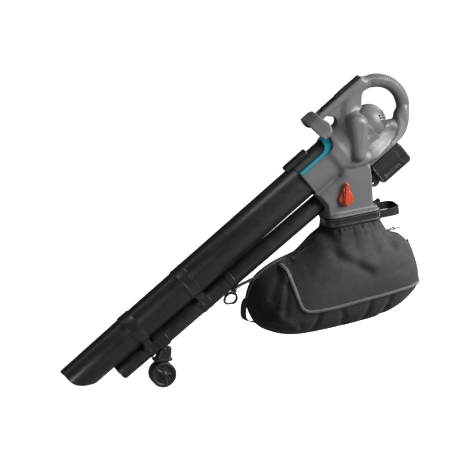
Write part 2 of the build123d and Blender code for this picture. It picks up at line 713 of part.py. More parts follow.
def status_window():
    return to_row(block((1082.1, 1120.9), (-5, 5), (BEAM_TOP - 1, BEAM_TOP + 0.9)))


def power_slider():
    """Thumb slider for switching on and setting the speed."""
    s0, s1 = SLIDER
    thumb = block((s0, s1), (-5.5, 5.5), (BEAM_TOP - 5.5, BEAM_TOP + 6.2))
    thumb = fillet(thumb.edges().group_by(Axis.Z)[-1], 1.6)
    for k in range(6):
        thumb -= block((s0 + 4 + 4 * k, s0 + 5.6 + 4 * k), (-6, 6), (BEAM_TOP + 5.4, BEAM_TOP + 8))
    return to_row(thumb)


def power_switch():
    """Slide switch under the panel, worked by the slider's foot."""
    body = block((1140, 1196), (-9, 9), (BEAM_BOTTOM + 3.1, BEAM_TOP - 6.1))
    return to_row(body)


# ----------------------------------------------------------------------------- fan and motor
def rotor_shaft():
    return to_row(rod(SHAFT_R, *SHAFT_SPAN))


SHAFT_BORE = rod(SHAFT_R + PRESS, 1040, 1100)


def impeller():
    """Open impeller: hub, back plate and swept blades that throw the leaves into the duct."""
    start, end = HUB_SPAN
    body = rod(HUB_R, start, end) + rod(IMPELLER_R, BACK_PLATE_START, end)
    vane = Pos(0, 0, 9) * block(VANE_SPAN, (10, IMPELLER_R - 0.5), (-1.6, 1.6))
    for k in range(VANES):
        body += Rot(360 / VANES * k, 0, 0) * vane & rod(IMPELLER_R, start - 5, end)
    return to_row(body - SHAFT_BORE)


def shredder_blade():
    """Flat steel bar with rounded tips, in front of the impeller, that chops the leaves."""
    bar = block(CHOPPER_SPAN, (-CHOPPER_HALF, CHOPPER_HALF), (-9, 9))
    bar = fillet(bar.edges().filter_by(Axis.X), 5)
    return to_row(bar - SHAFT_BORE)


def impeller_nut():
    nut = Pos(NUT_START, 0, 0) * Rot(0, 90, 0) * extrude(RegularPolygon(NUT_R, 6), amount=NUT_H)
    return to_row(nut - SHAFT_BORE)


def bearing(start, end):
    return to_row(tube(BEARING_R, SHAFT_R + FIT, start, end))


def motor_stator():
    """Laminated ring with twelve winding slots."""
    start, end = STATOR_SPAN
    body = tube(MOTOR_BORE_R - 0.1, STATOR_BORE_R, start, end)
    for k in range(STATOR_SLOTS):
        body -= Rot(360 / STATOR_SLOTS * k, 0, 0) * rod(4.4, start - 5, end + 5, 0, 35)
    return to_row(body)


def rotor_core():
    return to_row(tube(CORE_R, SHAFT_R + PRESS, *CORE_SPAN))


def motor_end_plate():
    """Spoked plate that carries the rear bearing."""
    start, end = END_PLATE_SPAN
    body = rod(MOTOR_BORE_R - 0.1, start, end) + rod(14, start, END_PLATE_BOSS)
    body -= rod(BEARING_R + PRESS, end - 1, END_PLATE_BOSS + 1)
    body -= rod(SHAFT_R + 1, start - 6, END_PLATE_BOSS + 1)
    for k in range(6):
        body -= Rot(60 * k, 0, 0) * rod(8, start - 6, end + 3, 0, 30)
    return to_row(body)


def dome_outline(start, radius, end):
    """Half outline of a domed cap: straight to the shoulder, then a quarter ellipse to the axis."""
    reach = end - DOME_SHOULDER
    c = math.sqrt(0.5)
    bow = Spline((DOME_SHOULDER, radius), (DOME_SHOULDER + c * reach, c * radius), (end, 0),
                 tangents=[(1, 0), (0, -1)])
    return make_face([Line((start, radius), (DOME_SHOULDER, radius)), bow, Line((end, 0), (start, 0)),
                      Line((start, 0), (start, radius))])


def motor_cover():
    """Domed cap over the motor's end, with cooling slots across the lower half of its end."""
    outer = dome_outline(DOME_START + 0.05, MOTOR_BODY_R, DOME_END)
    inner = dome_outline(DOME_START - 1, MOTOR_BODY_R - SHELL, DOME_END - SHELL)
    # a quarter turn keeps the start of the turned surface clear of the slots
    dome = Rot(90, 0, 0) * (revolve(Plane.XZ * outer, Axis.X) - revolve(Plane.XZ * inner, Axis.X))
    for k in range(VENTS):
        v = 6 - VENT_PITCH * k
        dome -= block((VENT_START, DOME_END + 2), (-VENT_HALF, VENT_HALF), (v - 1.7, v + 1.7))
    return to_row(dome)


# -------------------------------------------------------------------------- mode selector
def sector(r_in, r_out, half, span, start):
    """Ring sector about the selector axis, reaching half to each side, angles as seen from -Y."""
    full = make_face([CenterArc((0, 0), r_out, start, span), *sector_sides(r_in, r_out, start, span)])
    return Pos(DRUM_X, 0, DRUM_Z) * extrude(Plane.XZ * full, amount=half, both=True)


def sector_sides(r_in, r_out, start, span):
    def at(r, a):
        return (r * math.cos(math.radians(a)), r * math.sin(math.radians(a)))
    first, last = start, start + span
    return [Line(at(r_out, last), at(r_in, last)), CenterArc((0, 0), r_in, start, span),
            Line(at(r_in, first), at(r_out, first))]


def diverter_drum():
    """Curved gate that closes the blower tube, or, turned a quarter, the way into the bag."""
    start = DRUM_REST - DRUM_SPAN / 2
    outer = DRUM_HALF - 0.3
    inner = outer - DRUM_T
    gate = sector(DRUM_R - DRUM_T, DRUM_R, outer, DRUM_SPAN, start)
    cheeks = sector(5, DRUM_R, outer, DRUM_SPAN, start) - sector(4, DRUM_R + 1, inner, 360, 0)
    body = gate + cheeks
    for r, y0, y1 in ((DRUM_HUB_R, -outer, -inner), (DRUM_HUB_R, inner, outer), (STUB_R, STUB_LEFT_Y, -inner),
                      (STUB_R, inner, DRUM_HALF + 4.5)):
        body += cross_pin(r, y0, y1, DRUM_X, DRUM_Z)
    return body - cross_pin(LEVER_SCREW_R, -60, -45, DRUM_X, DRUM_Z)


def mode_lever():
    """Teardrop lever with a raised thumb ridge, on the left side of the outlet duct."""
    y_in = -DUCT_HALF - 0.3
    tip_z = DRUM_Z + LEVER_REACH
    disc = cross_pin(LEVER_R, y_in - LEVER_T, y_in, DRUM_X, DRUM_Z)
    tail = extrude(side_face([(DRUM_X - 20, DRUM_Z + 11), (DRUM_X - LEVER_TIP_R, tip_z),
                              (DRUM_X + LEVER_TIP_R, tip_z), (DRUM_X + 20, DRUM_Z + 11)]), amount=LEVER_T)
    tip = cross_pin(LEVER_TIP_R, y_in - LEVER_T, y_in, DRUM_X, tip_z)
    ridge = soft_block((DRUM_X - RIDGE_HALF, DRUM_X + RIDGE_HALF), (y_in - RIDGE_H, y_in - 4),
                       (DRUM_Z - 14, tip_z + 6), 3.5)
    body = disc + Pos(0, y_in, 0) * tail + tip + ridge
    body -= cross_pin(STUB_R + FIT, STUB_LEFT_Y - 0.1, y_in + 1, DRUM_X, DRUM_Z)
    body -= cross_pin(LEVER_SCREW_R + FIT, -90, -50, DRUM_X, DRUM_Z)
    return body - cross_pin(LEVER_SCREW_HEAD_R + FIT, -90, LEVER_SEAT_Y, DRUM_X, DRUM_Z)


def lever_screw():
    head = cross_pin(LEVER_SCREW_HEAD_R, LEVER_SEAT_Y - 3, LEVER_SEAT_Y, DRUM_X, DRUM_Z)
    return head + cross_pin(LEVER_SCREW_R - PRESS, LEVER_SEAT_Y, LEVER_SEAT_Y + 20, DRUM_X, DRUM_Z)


# ------------------------------------------------------------------ battery and electronics
def battery_dock():
    """Plate under the head with two rails that the battery slides onto."""
    body = block((1074.1, 1179.9), (-29.9, 29.9), (-98.5, -95.05))
    for side in (-1, 1):
        web = block(RAIL_SPAN, (RAIL_INNER_Y, RAIL_WEB_Y), (RAIL_V[0] + 2, -98))
        foot = block(RAIL_SPAN, (RAIL_INNER_Y, RAIL_FOOT_Y), RAIL_V)
        rail = web + foot
        body += rail if side > 0 else mirror(rail, Plane.XZ)
    return to_row(body)


def battery_contacts():
    """Blade contacts under the dock."""
    return [to_row(block((1096, 1118), (y - 0.6, y + 0.6), (-106, -98.52))) for y in (-12, 0, 12)]


def battery_outer():
    s, v = BATTERY_S, BATTERY_V
    body = block(s, (-BATTERY_HALF, BATTERY_HALF), v)
    body = fillet(body.edges().filter_by(Axis.Y), 12)
    return fillet(body.edges().filter_by(Axis.X), 5)


def battery_half(upper):
    """Upper or lower half of the battery's casing, hollow for its cells."""
    body = battery_outer() - block(*BATTERY_ROOM)
    run = (RAIL_SPAN[0] - 18, RAIL_SPAN[1] + 1)
    inner_y = RAIL_INNER_Y - RAIL_PLAY
    groove = block(run, (inner_y, RAIL_FOOT_Y + 0.7), (RAIL_V[0] - 0.7, RAIL_V[1] + 0.5))
    groove += block(run, (inner_y, RAIL_WEB_Y + RAIL_PLAY), (RAIL_V[1], -90))
    for side in (-1, 1):
        body -= groove if side > 0 else mirror(groove, Plane.XZ)
    body -= block((1060, 1120), (-15, 15), (-107, -90))
    body -= block((BUTTON_S[0] - 4, 1200), (-BUTTON_HALF - 0.1, BUTTON_HALF + 0.1),
                  (BUTTON_V[0] - 0.1, BUTTON_V[1] + 0.1))
    band = (BATTERY_SEAM, 0) if upper else (-200, BATTERY_SEAM)
    return to_row(body & block((1000, 1250), (-60, 60), band))


def battery_cells():
    """Ten cylindrical cells, two rows of five."""
    cells = []
    for row in CELL_ROWS:
        for k in range(5):
            s = CELL_START + CELL_PITCH * k
            cell = cross_pin(CELL_R, -CELL_LENGTH / 2, CELL_LENGTH / 2, s, row)
            cells.append(to_row(cell))
    return cells


def battery_latch():
    """Release button in the battery's rear end."""
    return to_row(soft_block(BUTTON_S, (-BUTTON_HALF, BUTTON_HALF), BUTTON_V, 1.5))


def control_board():
    """Circuit board over the dock with its capacitors and heat sink."""
    board = block((1088, 1166), (-26, 26), (-86, -84.4))
    cap = Cylinder(6, 16, align=STANDING)
    caps = [Pos(s, y, -84.4) * cap for s, y in ((1098, -14), (1098, 14), (1114, -14))]
    sink = block((1140, 1162), (-18, 18), (-84.4, -70))
    body = board + sink
    for cap in caps:
        body += cap
    return to_row(body)


def wiring():
    """Two wire runs: up the ring handle to the switch, and from the board to the motor."""
    section = Pos(RING_X + RING_R + 8.8, 0) * Circle(2.2)
    arc = revolve(Plane.XZ * section, Axis((RING_X, 0, 0), (0, 0, 1)), revolution_arc=165)
    placed = Pos(RING_X, 0, RING_Z) * Rot(0, 45, 0) * Rot(90, 0, 0) * (Pos(-RING_X, 0, 0) * arc)
    lead = to_row(Pos(1128, 0, -58) * Cylinder(2.2, 24))
    return [placed, lead]


# --------------------------------------------------------------------- outlet, collar, latch
def flange_ring(margin_out, margin_in, z0, z1):
    ring_face = flange_face(margin_out) - flange_face(margin_in)
    return Pos(0, 0, z0) * extrude(ring_face, amount=z1 - z0)


def outlet_seal():
    return from_flange(flange_ring(-4, -9, -SEAL_T, 0))


def bag_collar():
    """Rigid mouth of the bag, clipped under the flange, with ears for its latch."""
    low = -SEAL_T - COLLAR_H
    body = flange_ring(COLLAR_MARGIN, -8, low, -SEAL_T)
    x = FLANGE_REACH[1] + COLLAR_MARGIN
    for y in (14, -18):
        body += block((x - 2, x + 9), (y, y + 4), (-14, -3))
    body -= cross_pin(LATCH_PIN_R + FIT, -20, 20, LATCH_PIN_X, LATCH_PIN_Z)
    return from_flange(body)


def collar_latch():
    """Sprung hook at the back of the collar that grips the flange."""
    x = FLANGE_REACH[1]
    hook = side_plate([(x + 6, -10.5), (x + 11, -10.5), (x + 11.5, 6), (x + 20, 15), (x + 18, 18.5),
                       (x + 8, 12.5), (x - 3, 12), (x - 3, FLANGE_T + 0.4), (x + 5.6, FLANGE_T + 0.4)],
                      LATCH_HALF)
    return from_flange(hook - cross_pin(LATCH_PIN_R + FIT, -20, 20, LATCH_PIN_X, LATCH_PIN_Z))


def latch_pin():
    return from_flange(cross_pin(LATCH_PIN_R, -LATCH_PIN_HALF, LATCH_PIN_HALF, LATCH_PIN_X, LATCH_PIN_Z))


def loop_face(inset):
    """Plan of the carry loop, its outline moved inwards."""
    x = FLANGE_REACH[1] + COLLAR_MARGIN
    near, far, half = x - 40 + inset, x + LOOP_REACH - inset, LOOP_HALF - inset
    face = make_face(Polyline((near, -half), (far, -half), (far, half), (near, half), close=True))
    return fillet(face.vertices(), LOOP_CORNER_R - inset)


def bag_carry_loop():
    """Flat band that loops back from the collar, to hold the bag by when it is emptied."""
    x = FLANGE_REACH[1] + COLLAR_MARGIN
    band = Pos(0, 0, LOOP_Z) * extrude(loop_face(0) - loop_face(LOOP_T), amount=LOOP_H)
    return from_flange(band & block((x, x + 100), (-60, 60), (-40, 10)))


# --------------------------------------------------------------------------------------- bag
# Level sections of the filled bag in the flange frame: depth below it, front, rear, half width.
BAG_SECTIONS = [(-28.1, -104, 80, 56), (-72, -156, 98, 62), (-100, -214, 138, 76), (-138, -294, 162, 96),
                (-195, -335, 173, 107), (-240, -339, 172, 106), (-280, -324, 144, 92), (-312, -284, 84, 68),
                (-333, -215, -20, 34)]


def bag_form(grow):
    """Smooth body through the bag's sections, each grown outwards."""
    faces = []
    for z, front, rear, half in BAG_SECTIONS:
        last = z == BAG_SECTIONS[-1][0]
        plane = Plane.XY.offset(z - grow if last else z)
        centre = (front + rear) / 2
        faces.append(plane * (Pos(centre, 0) * Ellipse((rear - front) / 2 + grow, half + grow)))
    return loft(faces)


def bag_body():
    """Fabric bag, open at its neck."""
    top = block((-400, 300), (-200, 200), (-45, 0))
    neck_hole = Pos(0, 0, -45) * extrude(flange_face(-10), amount=20)
    inner = bag_form(-BAG_WALL) - top
    shell = from_flange(bag_form(0)) + d_ring_tab()
    return shell - from_flange(inner) - from_flange(neck_hole)


PANEL_EDGE = [(342, 380), (362, 338), (373, 295), (389, 248), (404, 227), (427, 221), (490, 226), (568, 241),
              (646, 255), (716, 267), (747, 282)]


def bag_panel():
    """Outer panel that hangs over the pouch on the bag's left side."""
    skin = from_flange(bag_form(3.2) - bag_form(0.4))
    region = side_face(PANEL_EDGE + [(790, 300), (790, 420), (600, 440), (470, 440)])
    return skin & extrude(region, amount=160) - block((300, 800), (-7, 10), (200, 500))


def bag_zip():
    """Zip down the back of the bag."""
    skin = bag_form(3.0) - bag_form(0.3)
    return from_flange(skin & block((100, 250), (-6, 6), (-270, -110)))


def bag_front_handle():
    """Webbing handle that stands off the front of the bag."""
    outer = side_plate([(286, 252), (250, 240), (246, 182), (292, 170)], 13)
    inner = side_plate([(300, 249), (253, 237), (249, 185), (300, 173)], 14)
    body = outer - inner
    return body - from_flange(bag_form(0.1))


def d_ring_tab():
    """Folded tape, sewn to the bag's shoulder, that holds the wire ring."""
    eye = cross_pin(4.6, -4, 4, D_RING_X, D_RING_Z)
    tape = block((D_RING_X - 26, D_RING_X - 3), (-4, 4), (D_RING_Z - 1.6, D_RING_Z + 1.6))
    return eye + tape - cross_pin(2.6, -5, 5, D_RING_X, D_RING_Z)


def bag_d_ring():
    """Closed wire ring on the bag's shoulder."""
    return Pos(D_RING_X + D_RING_R, 0, D_RING_Z) * Torus(D_RING_R, D_RING_WIRE_R)


def bag_strap():
    """Flat strap from the hook's eyelet to the bag's front."""
    x0, z0, x1, z1 = 240, 284, 330, 336
    tilt = math.degrees(math.atan2(z1 - z0, x1 - x0))
    length = math.hypot(x1 - x0, z1 - z0)
    strap = Pos((x0 + x1) / 2, -6.3, (z0 + z1) / 2) * Rot(0, -tilt, 0) * Box(length, 1.8, 11)
    return strap - from_flange(bag_form(0.1))


NODES = {
    "suction_nozzle": suction_nozzle,
    "suction_tube_middle": suction_tube_middle,
    "suction_tube_upper": suction_tube_upper,
    "blower_nozzle": blower_nozzle,
    "blower_coupling_lower": blower_coupling_lower,
    "blower_tube_middle": blower_tube_middle,
    "blower_coupling_upper": blower_coupling_upper,
    "blower_tube_upper": blower_tube_upper,
    "tube_bridges": tube_bridges,
    "wheel_bracket": wheel_bracket,
    "wheel_axle": wheel_axle,
    "wheel_left": lambda: wheel(-1),
    "wheel_right": lambda: wheel(1),
    "axle_caps": axle_caps,
    "strap_hook": strap_hook,
    "strap_eyelet": strap_eyelet,
    "housing_left": lambda: head_shell(-1),
    "housing_right": lambda: head_shell(1),
    "housing_screws": housing_screws,
    "inlet_socket": inlet_socket,
    "accent_trim": accent_trim,
    "tube_release_button": tube_release_button,
    "front_handle": front_handle,
    "front_handle_pad": front_handle_pad,
    "grip_cover": grip_cover,
    "control_panel": control_panel,
    "status_window": status_window,
    "power_slider": power_slider,
    "power_switch": power_switch,
    "rotor_shaft": rotor_shaft,
    "rotor_core": rotor_core,
    "impeller": impeller,
    "shredder_blade": shredder_blade,
    "impeller_nut": impeller_nut,
    "motor_bearings": lambda: [bearing(*FRONT_BEARING), bearing(*REAR_BEARING)],
    "motor_stator": motor_stator,
    "motor_end_plate": motor_end_plate,
    "motor_cover": motor_cover,
    "diverter_drum": diverter_drum,
    "mode_lever": mode_lever,
    "lever_screw": lever_screw,
    "battery_dock": battery_dock,
    "battery_contacts": battery_contacts,
    "battery_case_upper": lambda: battery_half(True),
    "battery_case_lower": lambda: battery_half(False),
    "battery_cells": battery_cells,
    "battery_latch": battery_latch,
    "control_board": control_board,
    "wiring": wiring,
    "outlet_seal": outlet_seal,
    "bag_collar": bag_collar,
    "collar_latch": collar_latch,
    "latch_pin": latch_pin,
    "bag_carry_loop": bag_carry_loop,
    "bag_body": bag_body,
    "bag_panel": bag_panel,
    "bag_front_handle": bag_front_handle,
    "bag_zip": bag_zip,
    "bag_d_ring": bag_d_ring,
    "bag_strap": bag_strap,
}


def write_all():
    os.makedirs("parts", exist_ok=True)
    for name, make in NODES.items():
        made = make()
        shape = Compound(children=made) if isinstance(made, list) else made
        export_step(shape, f"parts/{name}.step")


write_all()
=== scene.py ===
import json
import math

import bmesh
import bpy
import numpy as np
from mathutils import Matrix, Vector, geometry
from mathutils.bvhtree import BVHTree


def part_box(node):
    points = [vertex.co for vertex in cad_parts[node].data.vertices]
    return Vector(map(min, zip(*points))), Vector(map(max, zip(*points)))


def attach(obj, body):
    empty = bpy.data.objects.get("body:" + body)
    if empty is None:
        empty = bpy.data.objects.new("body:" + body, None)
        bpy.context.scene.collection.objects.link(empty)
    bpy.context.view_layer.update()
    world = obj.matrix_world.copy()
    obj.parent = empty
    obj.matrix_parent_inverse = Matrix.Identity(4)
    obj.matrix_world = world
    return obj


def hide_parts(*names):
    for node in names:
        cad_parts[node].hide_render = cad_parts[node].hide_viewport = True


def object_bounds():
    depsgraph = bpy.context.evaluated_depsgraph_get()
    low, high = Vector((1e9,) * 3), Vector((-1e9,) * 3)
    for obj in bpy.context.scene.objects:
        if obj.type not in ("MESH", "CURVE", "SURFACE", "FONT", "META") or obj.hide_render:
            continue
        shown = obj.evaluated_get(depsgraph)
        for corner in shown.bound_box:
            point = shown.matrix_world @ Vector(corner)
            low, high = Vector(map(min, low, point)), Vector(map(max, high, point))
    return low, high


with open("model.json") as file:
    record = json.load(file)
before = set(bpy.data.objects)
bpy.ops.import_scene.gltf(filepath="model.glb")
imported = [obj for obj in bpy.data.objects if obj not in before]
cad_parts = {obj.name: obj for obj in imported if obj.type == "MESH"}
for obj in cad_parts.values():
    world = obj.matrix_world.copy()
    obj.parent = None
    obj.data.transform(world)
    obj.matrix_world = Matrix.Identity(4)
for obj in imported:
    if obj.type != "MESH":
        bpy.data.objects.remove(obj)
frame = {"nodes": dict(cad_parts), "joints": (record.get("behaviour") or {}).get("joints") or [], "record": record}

# ---------------------------------------------------------------------------------------------
# Looks of the leaf vacuum.  Shapes are worked out in millimetres, in the row frame or in one of
# the machine's own tilted frames, and become metres when a mesh is made.
# ---------------------------------------------------------------------------------------------

CAD_BOX = [list(corner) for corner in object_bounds()]
MM = 0.001
MOUNTS = {m["name"]: m for m in frame["record"]["mounts"]}
JOINTS = {j["name"]: j for j in frame["joints"]}


def box_mm(node):
    """Lowest and highest corner of a CAD node in millimetres."""
    low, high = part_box(node)
    return low / MM, high / MM


# frames: each is a 4x4 matrix from the local millimetres to the row's millimetres
ROW = Matrix.Identity(4)
MOUTH = Vector(MOUNTS["suction_mouth"]["pos_m"]) / MM
AXIS = Vector(JOINTS["rotor_spin"]["axis"]).normalized()
TILT = math.atan2(AXIS.z, AXIS.x)
TUBE = Matrix.Translation(MOUTH) @ Matrix.Rotation(-TILT, 4, "Y")
BLOWER_DROP = 76.3
BLOWER_SPREAD = math.radians(0.79)
BLOWER = TUBE @ Matrix.Translation((0, 0, -BLOWER_DROP)) @ Matrix.Rotation(BLOWER_SPREAD, 4, "Y")
DRUM = Vector(JOINTS["mode_turn"]["pos_m"]) / MM
FLANGE_TILT = math.radians(7)
FLANGE_FROM_DRUM = Vector((32, 0, -50.5))
FLANGE = Matrix.Translation(DRUM + FLANGE_FROM_DRUM) @ Matrix.Rotation(-FLANGE_TILT, 4, "Y")
WHEEL_R = JOINTS["wheel_left_spin"]["pos_m"][2] / MM

VOXEL = 1.5
FINE = 0.9

# head
SOCKET_R = 55.5
CRADLE_R = 59.5
CRADLE_TOP = 30.0
HEAD_FRONT = 903.0
FAN_R = 64.0
MOTOR_R = 50.0
DOME_START = 1152.0
DOME_SHOULDER = 1166.0
DOME_END = 1213.0
BEAM_TOP = 125.0
BEAM_BOTTOM = 104.0
BEAM_HALF = 20.0
PANEL_HALF = 12.0
RING_X = 651.0
RING_Z = 789.0
RING_R = 85.5
GRIP_T = 36.5
GRIP_W = 36.0
GRIP_ROUND = 15.5
WEB_HALF = 11.0
DUCT_HALF = 52.0
DRUM_HALF = 43.9
UPPER_BLOWER_R = 27.3

# bag
FLANGE_REACH = (-88.0, 73.0)
FLANGE_WIDTH = 114.0


# --------------------------------------------------------------------------- mesh basics
def add_mesh(name, points, faces, material, place=ROW, smooth=35):
    """Mesh object from local millimetre points; edges sharper than smooth degrees stay crisp."""
    turn = np.array(place.to_3x3())
    shift = np.array(place.translation)
    placed = (np.asarray(points, float) @ turn.T + shift) * MM
    mesh = bpy.data.meshes.new(name)
    mesh.from_pydata(placed.tolist(), [], [list(map(int, f)) for f in faces])
    mesh.validate()
    piece = bpy.data.objects.new(name, mesh)
    bpy.context.scene.collection.objects.link(piece)
    mesh.materials.append(material)
    mesh.shade_smooth()
    mesh.set_sharp_from_angle(angle=math.radians(smooth))
    return piece


def settle(piece, body, slot, *nodes):
    """Puts a finished piece on its body, in place of the CAD nodes it stands for."""
    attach(piece, body)
    if nodes:
        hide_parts(*nodes)
    return piece


def flip_outwards(piece):
    """Makes every face of a closed mesh look outwards."""
    work = bmesh.new()
    work.from_mesh(piece.data)
    bmesh.ops.recalc_face_normals(work, faces=work.faces)
    work.to_mesh(piece.data)
    work.free()
    return piece


# ------------------------------------------------------------------- distance-field sculpting
def corner_views(values):
    """The eight corner arrays of every cell, keyed by corner offset."""
    views = {}
    for i in (0, 1):
        for j in (0, 1):
            for k in (0, 1):
                views[i, j, k] = values[i:values.shape[0] - 1 + i, j:values.shape[1] - 1 + j,
                                        k:values.shape[2] - 1 + k]
    return views


def surface_nets(values, low, step):
    """Closed quad mesh of the surface where values cross zero."""
    inside = values < 0
    counts = sum(v.astype(np.int8) for v in corner_views(inside).values())
    active = (counts > 0) & (counts < 8)
    cells = np.argwhere(active)
    corners = {offset: view[active] for offset, view in corner_views(values).items()}
    total = np.zeros((len(cells), 3))
    crossings = np.zeros(len(cells))
    for a in corners:
        for axis in range(3):
            if a[axis]:
                continue
            b = tuple(a[n] + (n == axis) for n in range(3))
            fa, fb = corners[a], corners[b]
            cut = (fa < 0) != (fb < 0)
            t = fa[cut] / (fa[cut] - fb[cut])
            at = np.tile(np.array(a, float), (len(t), 1))
            at[:, axis] += t
            total[cut] += at
            crossings[cut] += 1
    points = (cells + total / crossings[:, None]) * step + low
    index = -np.ones(active.shape, np.int64)
    index[active] = np.arange(len(cells))
    faces = []
    for axis in range(3):
        u, v = [n for n in range(3) if n != axis]
        ahead = [slice(None)] * 3
        behind = [slice(None)] * 3
        ahead[axis], behind[axis] = slice(1, None), slice(None, -1)
        change = inside[tuple(behind)] != inside[tuple(ahead)]
        for n in (u, v):
            edge = [slice(None)] * 3
            edge[n] = slice(0, 1)
            change[tuple(edge)] = False
            edge[n] = slice(-1, None)
            change[tuple(edge)] = False
        at = np.argwhere(change)
        outward = inside[tuple(at.T)]

        def cell(du, dv):
            c = at.copy()
            c[:, u] -= du
            c[:, v] -= dv
            return index[tuple(c.T)]
        quad = np.stack([cell(0, 0), cell(1, 0), cell(1, 1), cell(0, 1)], 1)
        turn = outward if axis == 1 else ~outward
        quad[turn] = quad[turn][:, ::-1]
        faces.append(quad)
    return points, np.concatenate(faces)


def sample(values, low, step, points):
    """Value and gradient of the grid at points, between its nodes."""
    grid = (points - low) / step
    base = np.clip(np.floor(grid).astype(int), 0, np.array(values.shape) - 2)
    f = grid - base
    got = np.zeros(len(points))
    slope = np.zeros((len(points), 3))
    for i in (0, 1):
        for j in (0, 1):
            for k in (0, 1):
                corner = values[base[:, 0] + i, base[:, 1] + j, base[:, 2] + k]
                wx = f[:, 0] if i else 1 - f[:, 0]
                wy = f[:, 1] if j else 1 - f[:, 1]
                wz = f[:, 2] if k else 1 - f[:, 2]
                got += corner * wx * wy * wz
                slope[:, 0] += corner * (2 * i - 1) * wy * wz
                slope[:, 1] += corner * (2 * j - 1) * wx * wz
                slope[:, 2] += corner * (2 * k - 1) * wx * wy
    return got, slope / step


def relax(points, faces, share):
    """Moves each point towards the middle of its neighbours."""
    ends = np.concatenate([faces[:, [0, 1]], faces[:, [1, 2]], faces[:, [2, 3]], faces[:, [3, 0]]])
    ends = np.concatenate([ends, ends[:, ::-1]])
    count = np.bincount(ends[:, 0], minlength=len(points))
    count = np.maximum(count, 1)
    middle = np.stack([np.bincount(ends[:, 0], points[ends[:, 1], n], len(points)) for n in range(3)], 1)
    return points + (middle / count[:, None] - points) * share


def sculpt(name, field, low, high, voxel, material, place=ROW, smooth=50, passes=2):
    """Closed mesh of the zero surface of field(x, y, z), a distance in local millimetres."""
    low = np.array(low, float) - 2 * voxel
    axes = [low[n] + voxel * np.arange(int((high[n] - low[n]) / voxel) + 4) for n in range(3)]
    grid = np.meshgrid(*[a.astype(np.float32) for a in axes], indexing="ij", sparse=True)
    values = np.array(np.broadcast_to(field(*grid), [len(a) for a in axes]), np.float32)
    for n in range(3):
        for end in (0, 1, -1, -2):
            edge = [slice(None)] * 3
            edge[n] = end
            values[tuple(edge)] = np.maximum(values[tuple(edge)], 0.3 * voxel)
    points, faces = surface_nets(values, low, voxel)
    for _ in range(passes):
        points = relax(points, faces, 0.5)
        for _ in range(2):
            got, slope = sample(values, low, voxel, points)
            push = got / np.maximum((slope ** 2).sum(1), 0.2)
            points = points - slope * np.clip(push, -0.4 * voxel, 0.4 * voxel)[:, None]
    return add_mesh(name, points, faces, material, place, smooth)


# distances; every one is in millimetres and negative inside
def union(*fields, blend=0.0):
    """Joined forms, with a fillet of about blend where they meet."""
    joined = fields[0]
    for other in fields[1:]:
        if blend:
            gap = np.maximum(blend - np.abs(joined - other), 0) / blend
            joined = np.minimum(joined, other) - gap * gap * blend * 0.25
        else:
            joined = np.minimum(joined, other)
    return joined


def common(*fields, blend=0.0):
    """What several forms share, the edges rounded by about blend."""
    return -union(*[-f for f in fields], blend=blend)


def cut(field, *tools, blend=0.0):
    """A form with tools taken out of it, the rims rounded by about blend."""
    for tool in tools:
        field = common(field, -tool, blend=blend)
    return field


def corner_distance(a, b, radius):
    """Distance of a form bounded by a < 0 and b < 0, with its corner rounded."""
    a, b = a + radius, b + radius
    return np.minimum(np.maximum(a, b), 0) + np.hypot(np.maximum(a, 0), np.maximum(b, 0)) - radius


def outline(x, z, corners):
    """Distance from the outline of a closed polygon in a plane."""
    x, z = np.broadcast_arrays(x, z)
    nearest = np.full(x.shape, 1e9, np.float32)
    odd = np.zeros(x.shape, bool)
    for (x0, z0), (x1, z1) in zip(corners, corners[1:] + corners[:1]):
        ex, ez = x1 - x0, z1 - z0
        t = np.clip(((x - x0) * ex + (z - z0) * ez) / (ex * ex + ez * ez), 0, 1)
        nearest = np.minimum(nearest, (x - x0 - t * ex) ** 2 + (z - z0 - t * ez) ** 2)
        crosses = (z0 > z) != (z1 > z)
        odd ^= crosses & (x < ex * (z - z0) / (ez if ez else 1e-9) + x0)
    return np.where(odd, -1, 1) * np.sqrt(nearest)


def plate(flat, y, half, radius):
    """Flat outline distance carried half to each side of y = 0, with rounded rims."""
    return corner_distance(flat, np.abs(y) - half, radius)


def bar(x, y, z, low, high, radius):
    """Box between two corners with every edge rounded."""
    middle = [(a + b) / 2 for a, b in zip(low, high)]
    half = [(b - a) / 2 - radius for a, b in zip(low, high)]
    q = [np.abs(c - m) - h for c, m, h in zip((x, y, z), middle, half)]
    outside = np.sqrt(sum(np.maximum(c, 0) ** 2 for c in q))
    return outside + np.minimum(np.maximum(np.maximum(q[0], q[1]), q[2]), 0) - radius


def cylinder(across, along, radius, start, end, rim=0.0):
    """Cylinder, given the distance from its axis and the place along it."""
    middle, half = (start + end) / 2, (end - start) / 2
    return corner_distance(across - radius, np.abs(along - middle) - half, rim)


def tapered_pill(x, z, a, ra, b, rb):
    """Flat pill from a circle round a to a circle round b."""
    ex, ez = b[0] - a[0], b[1] - a[1]
    t = np.clip(((x - a[0]) * ex + (z - a[1]) * ez) / (ex * ex + ez * ez), 0, 1)
    return np.hypot(x - a[0] - t * ex, z - a[1] - t * ez) - ra - t * (rb - ra)


def in_frame(place, x, z):
    """Local x and z of row points in one of the tilted frames."""
    back = place.inverted()
    return back[0][0] * x + back[0][2] * z + back[0][3], back[2][0] * x + back[2][2] * z + back[2][3]


def row_point(place, along, up, y=0.0):
    """Row point at a place along and above the axis of one of the tilted frames."""
    return place @ Vector((along, y, up))


# ---------------------------------------------------------------------- turned and swept forms
def ring_faces(rings, around, closed=True):
    """Quads between rings of around points each; closed joins the last ring to the first."""
    return [[i * around + j, i * around + (j + 1) % around, (i + 1) % rings * around + (j + 1) % around,
             (i + 1) % rings * around + j]
            for i in range(rings if closed else rings - 1) for j in range(around)]


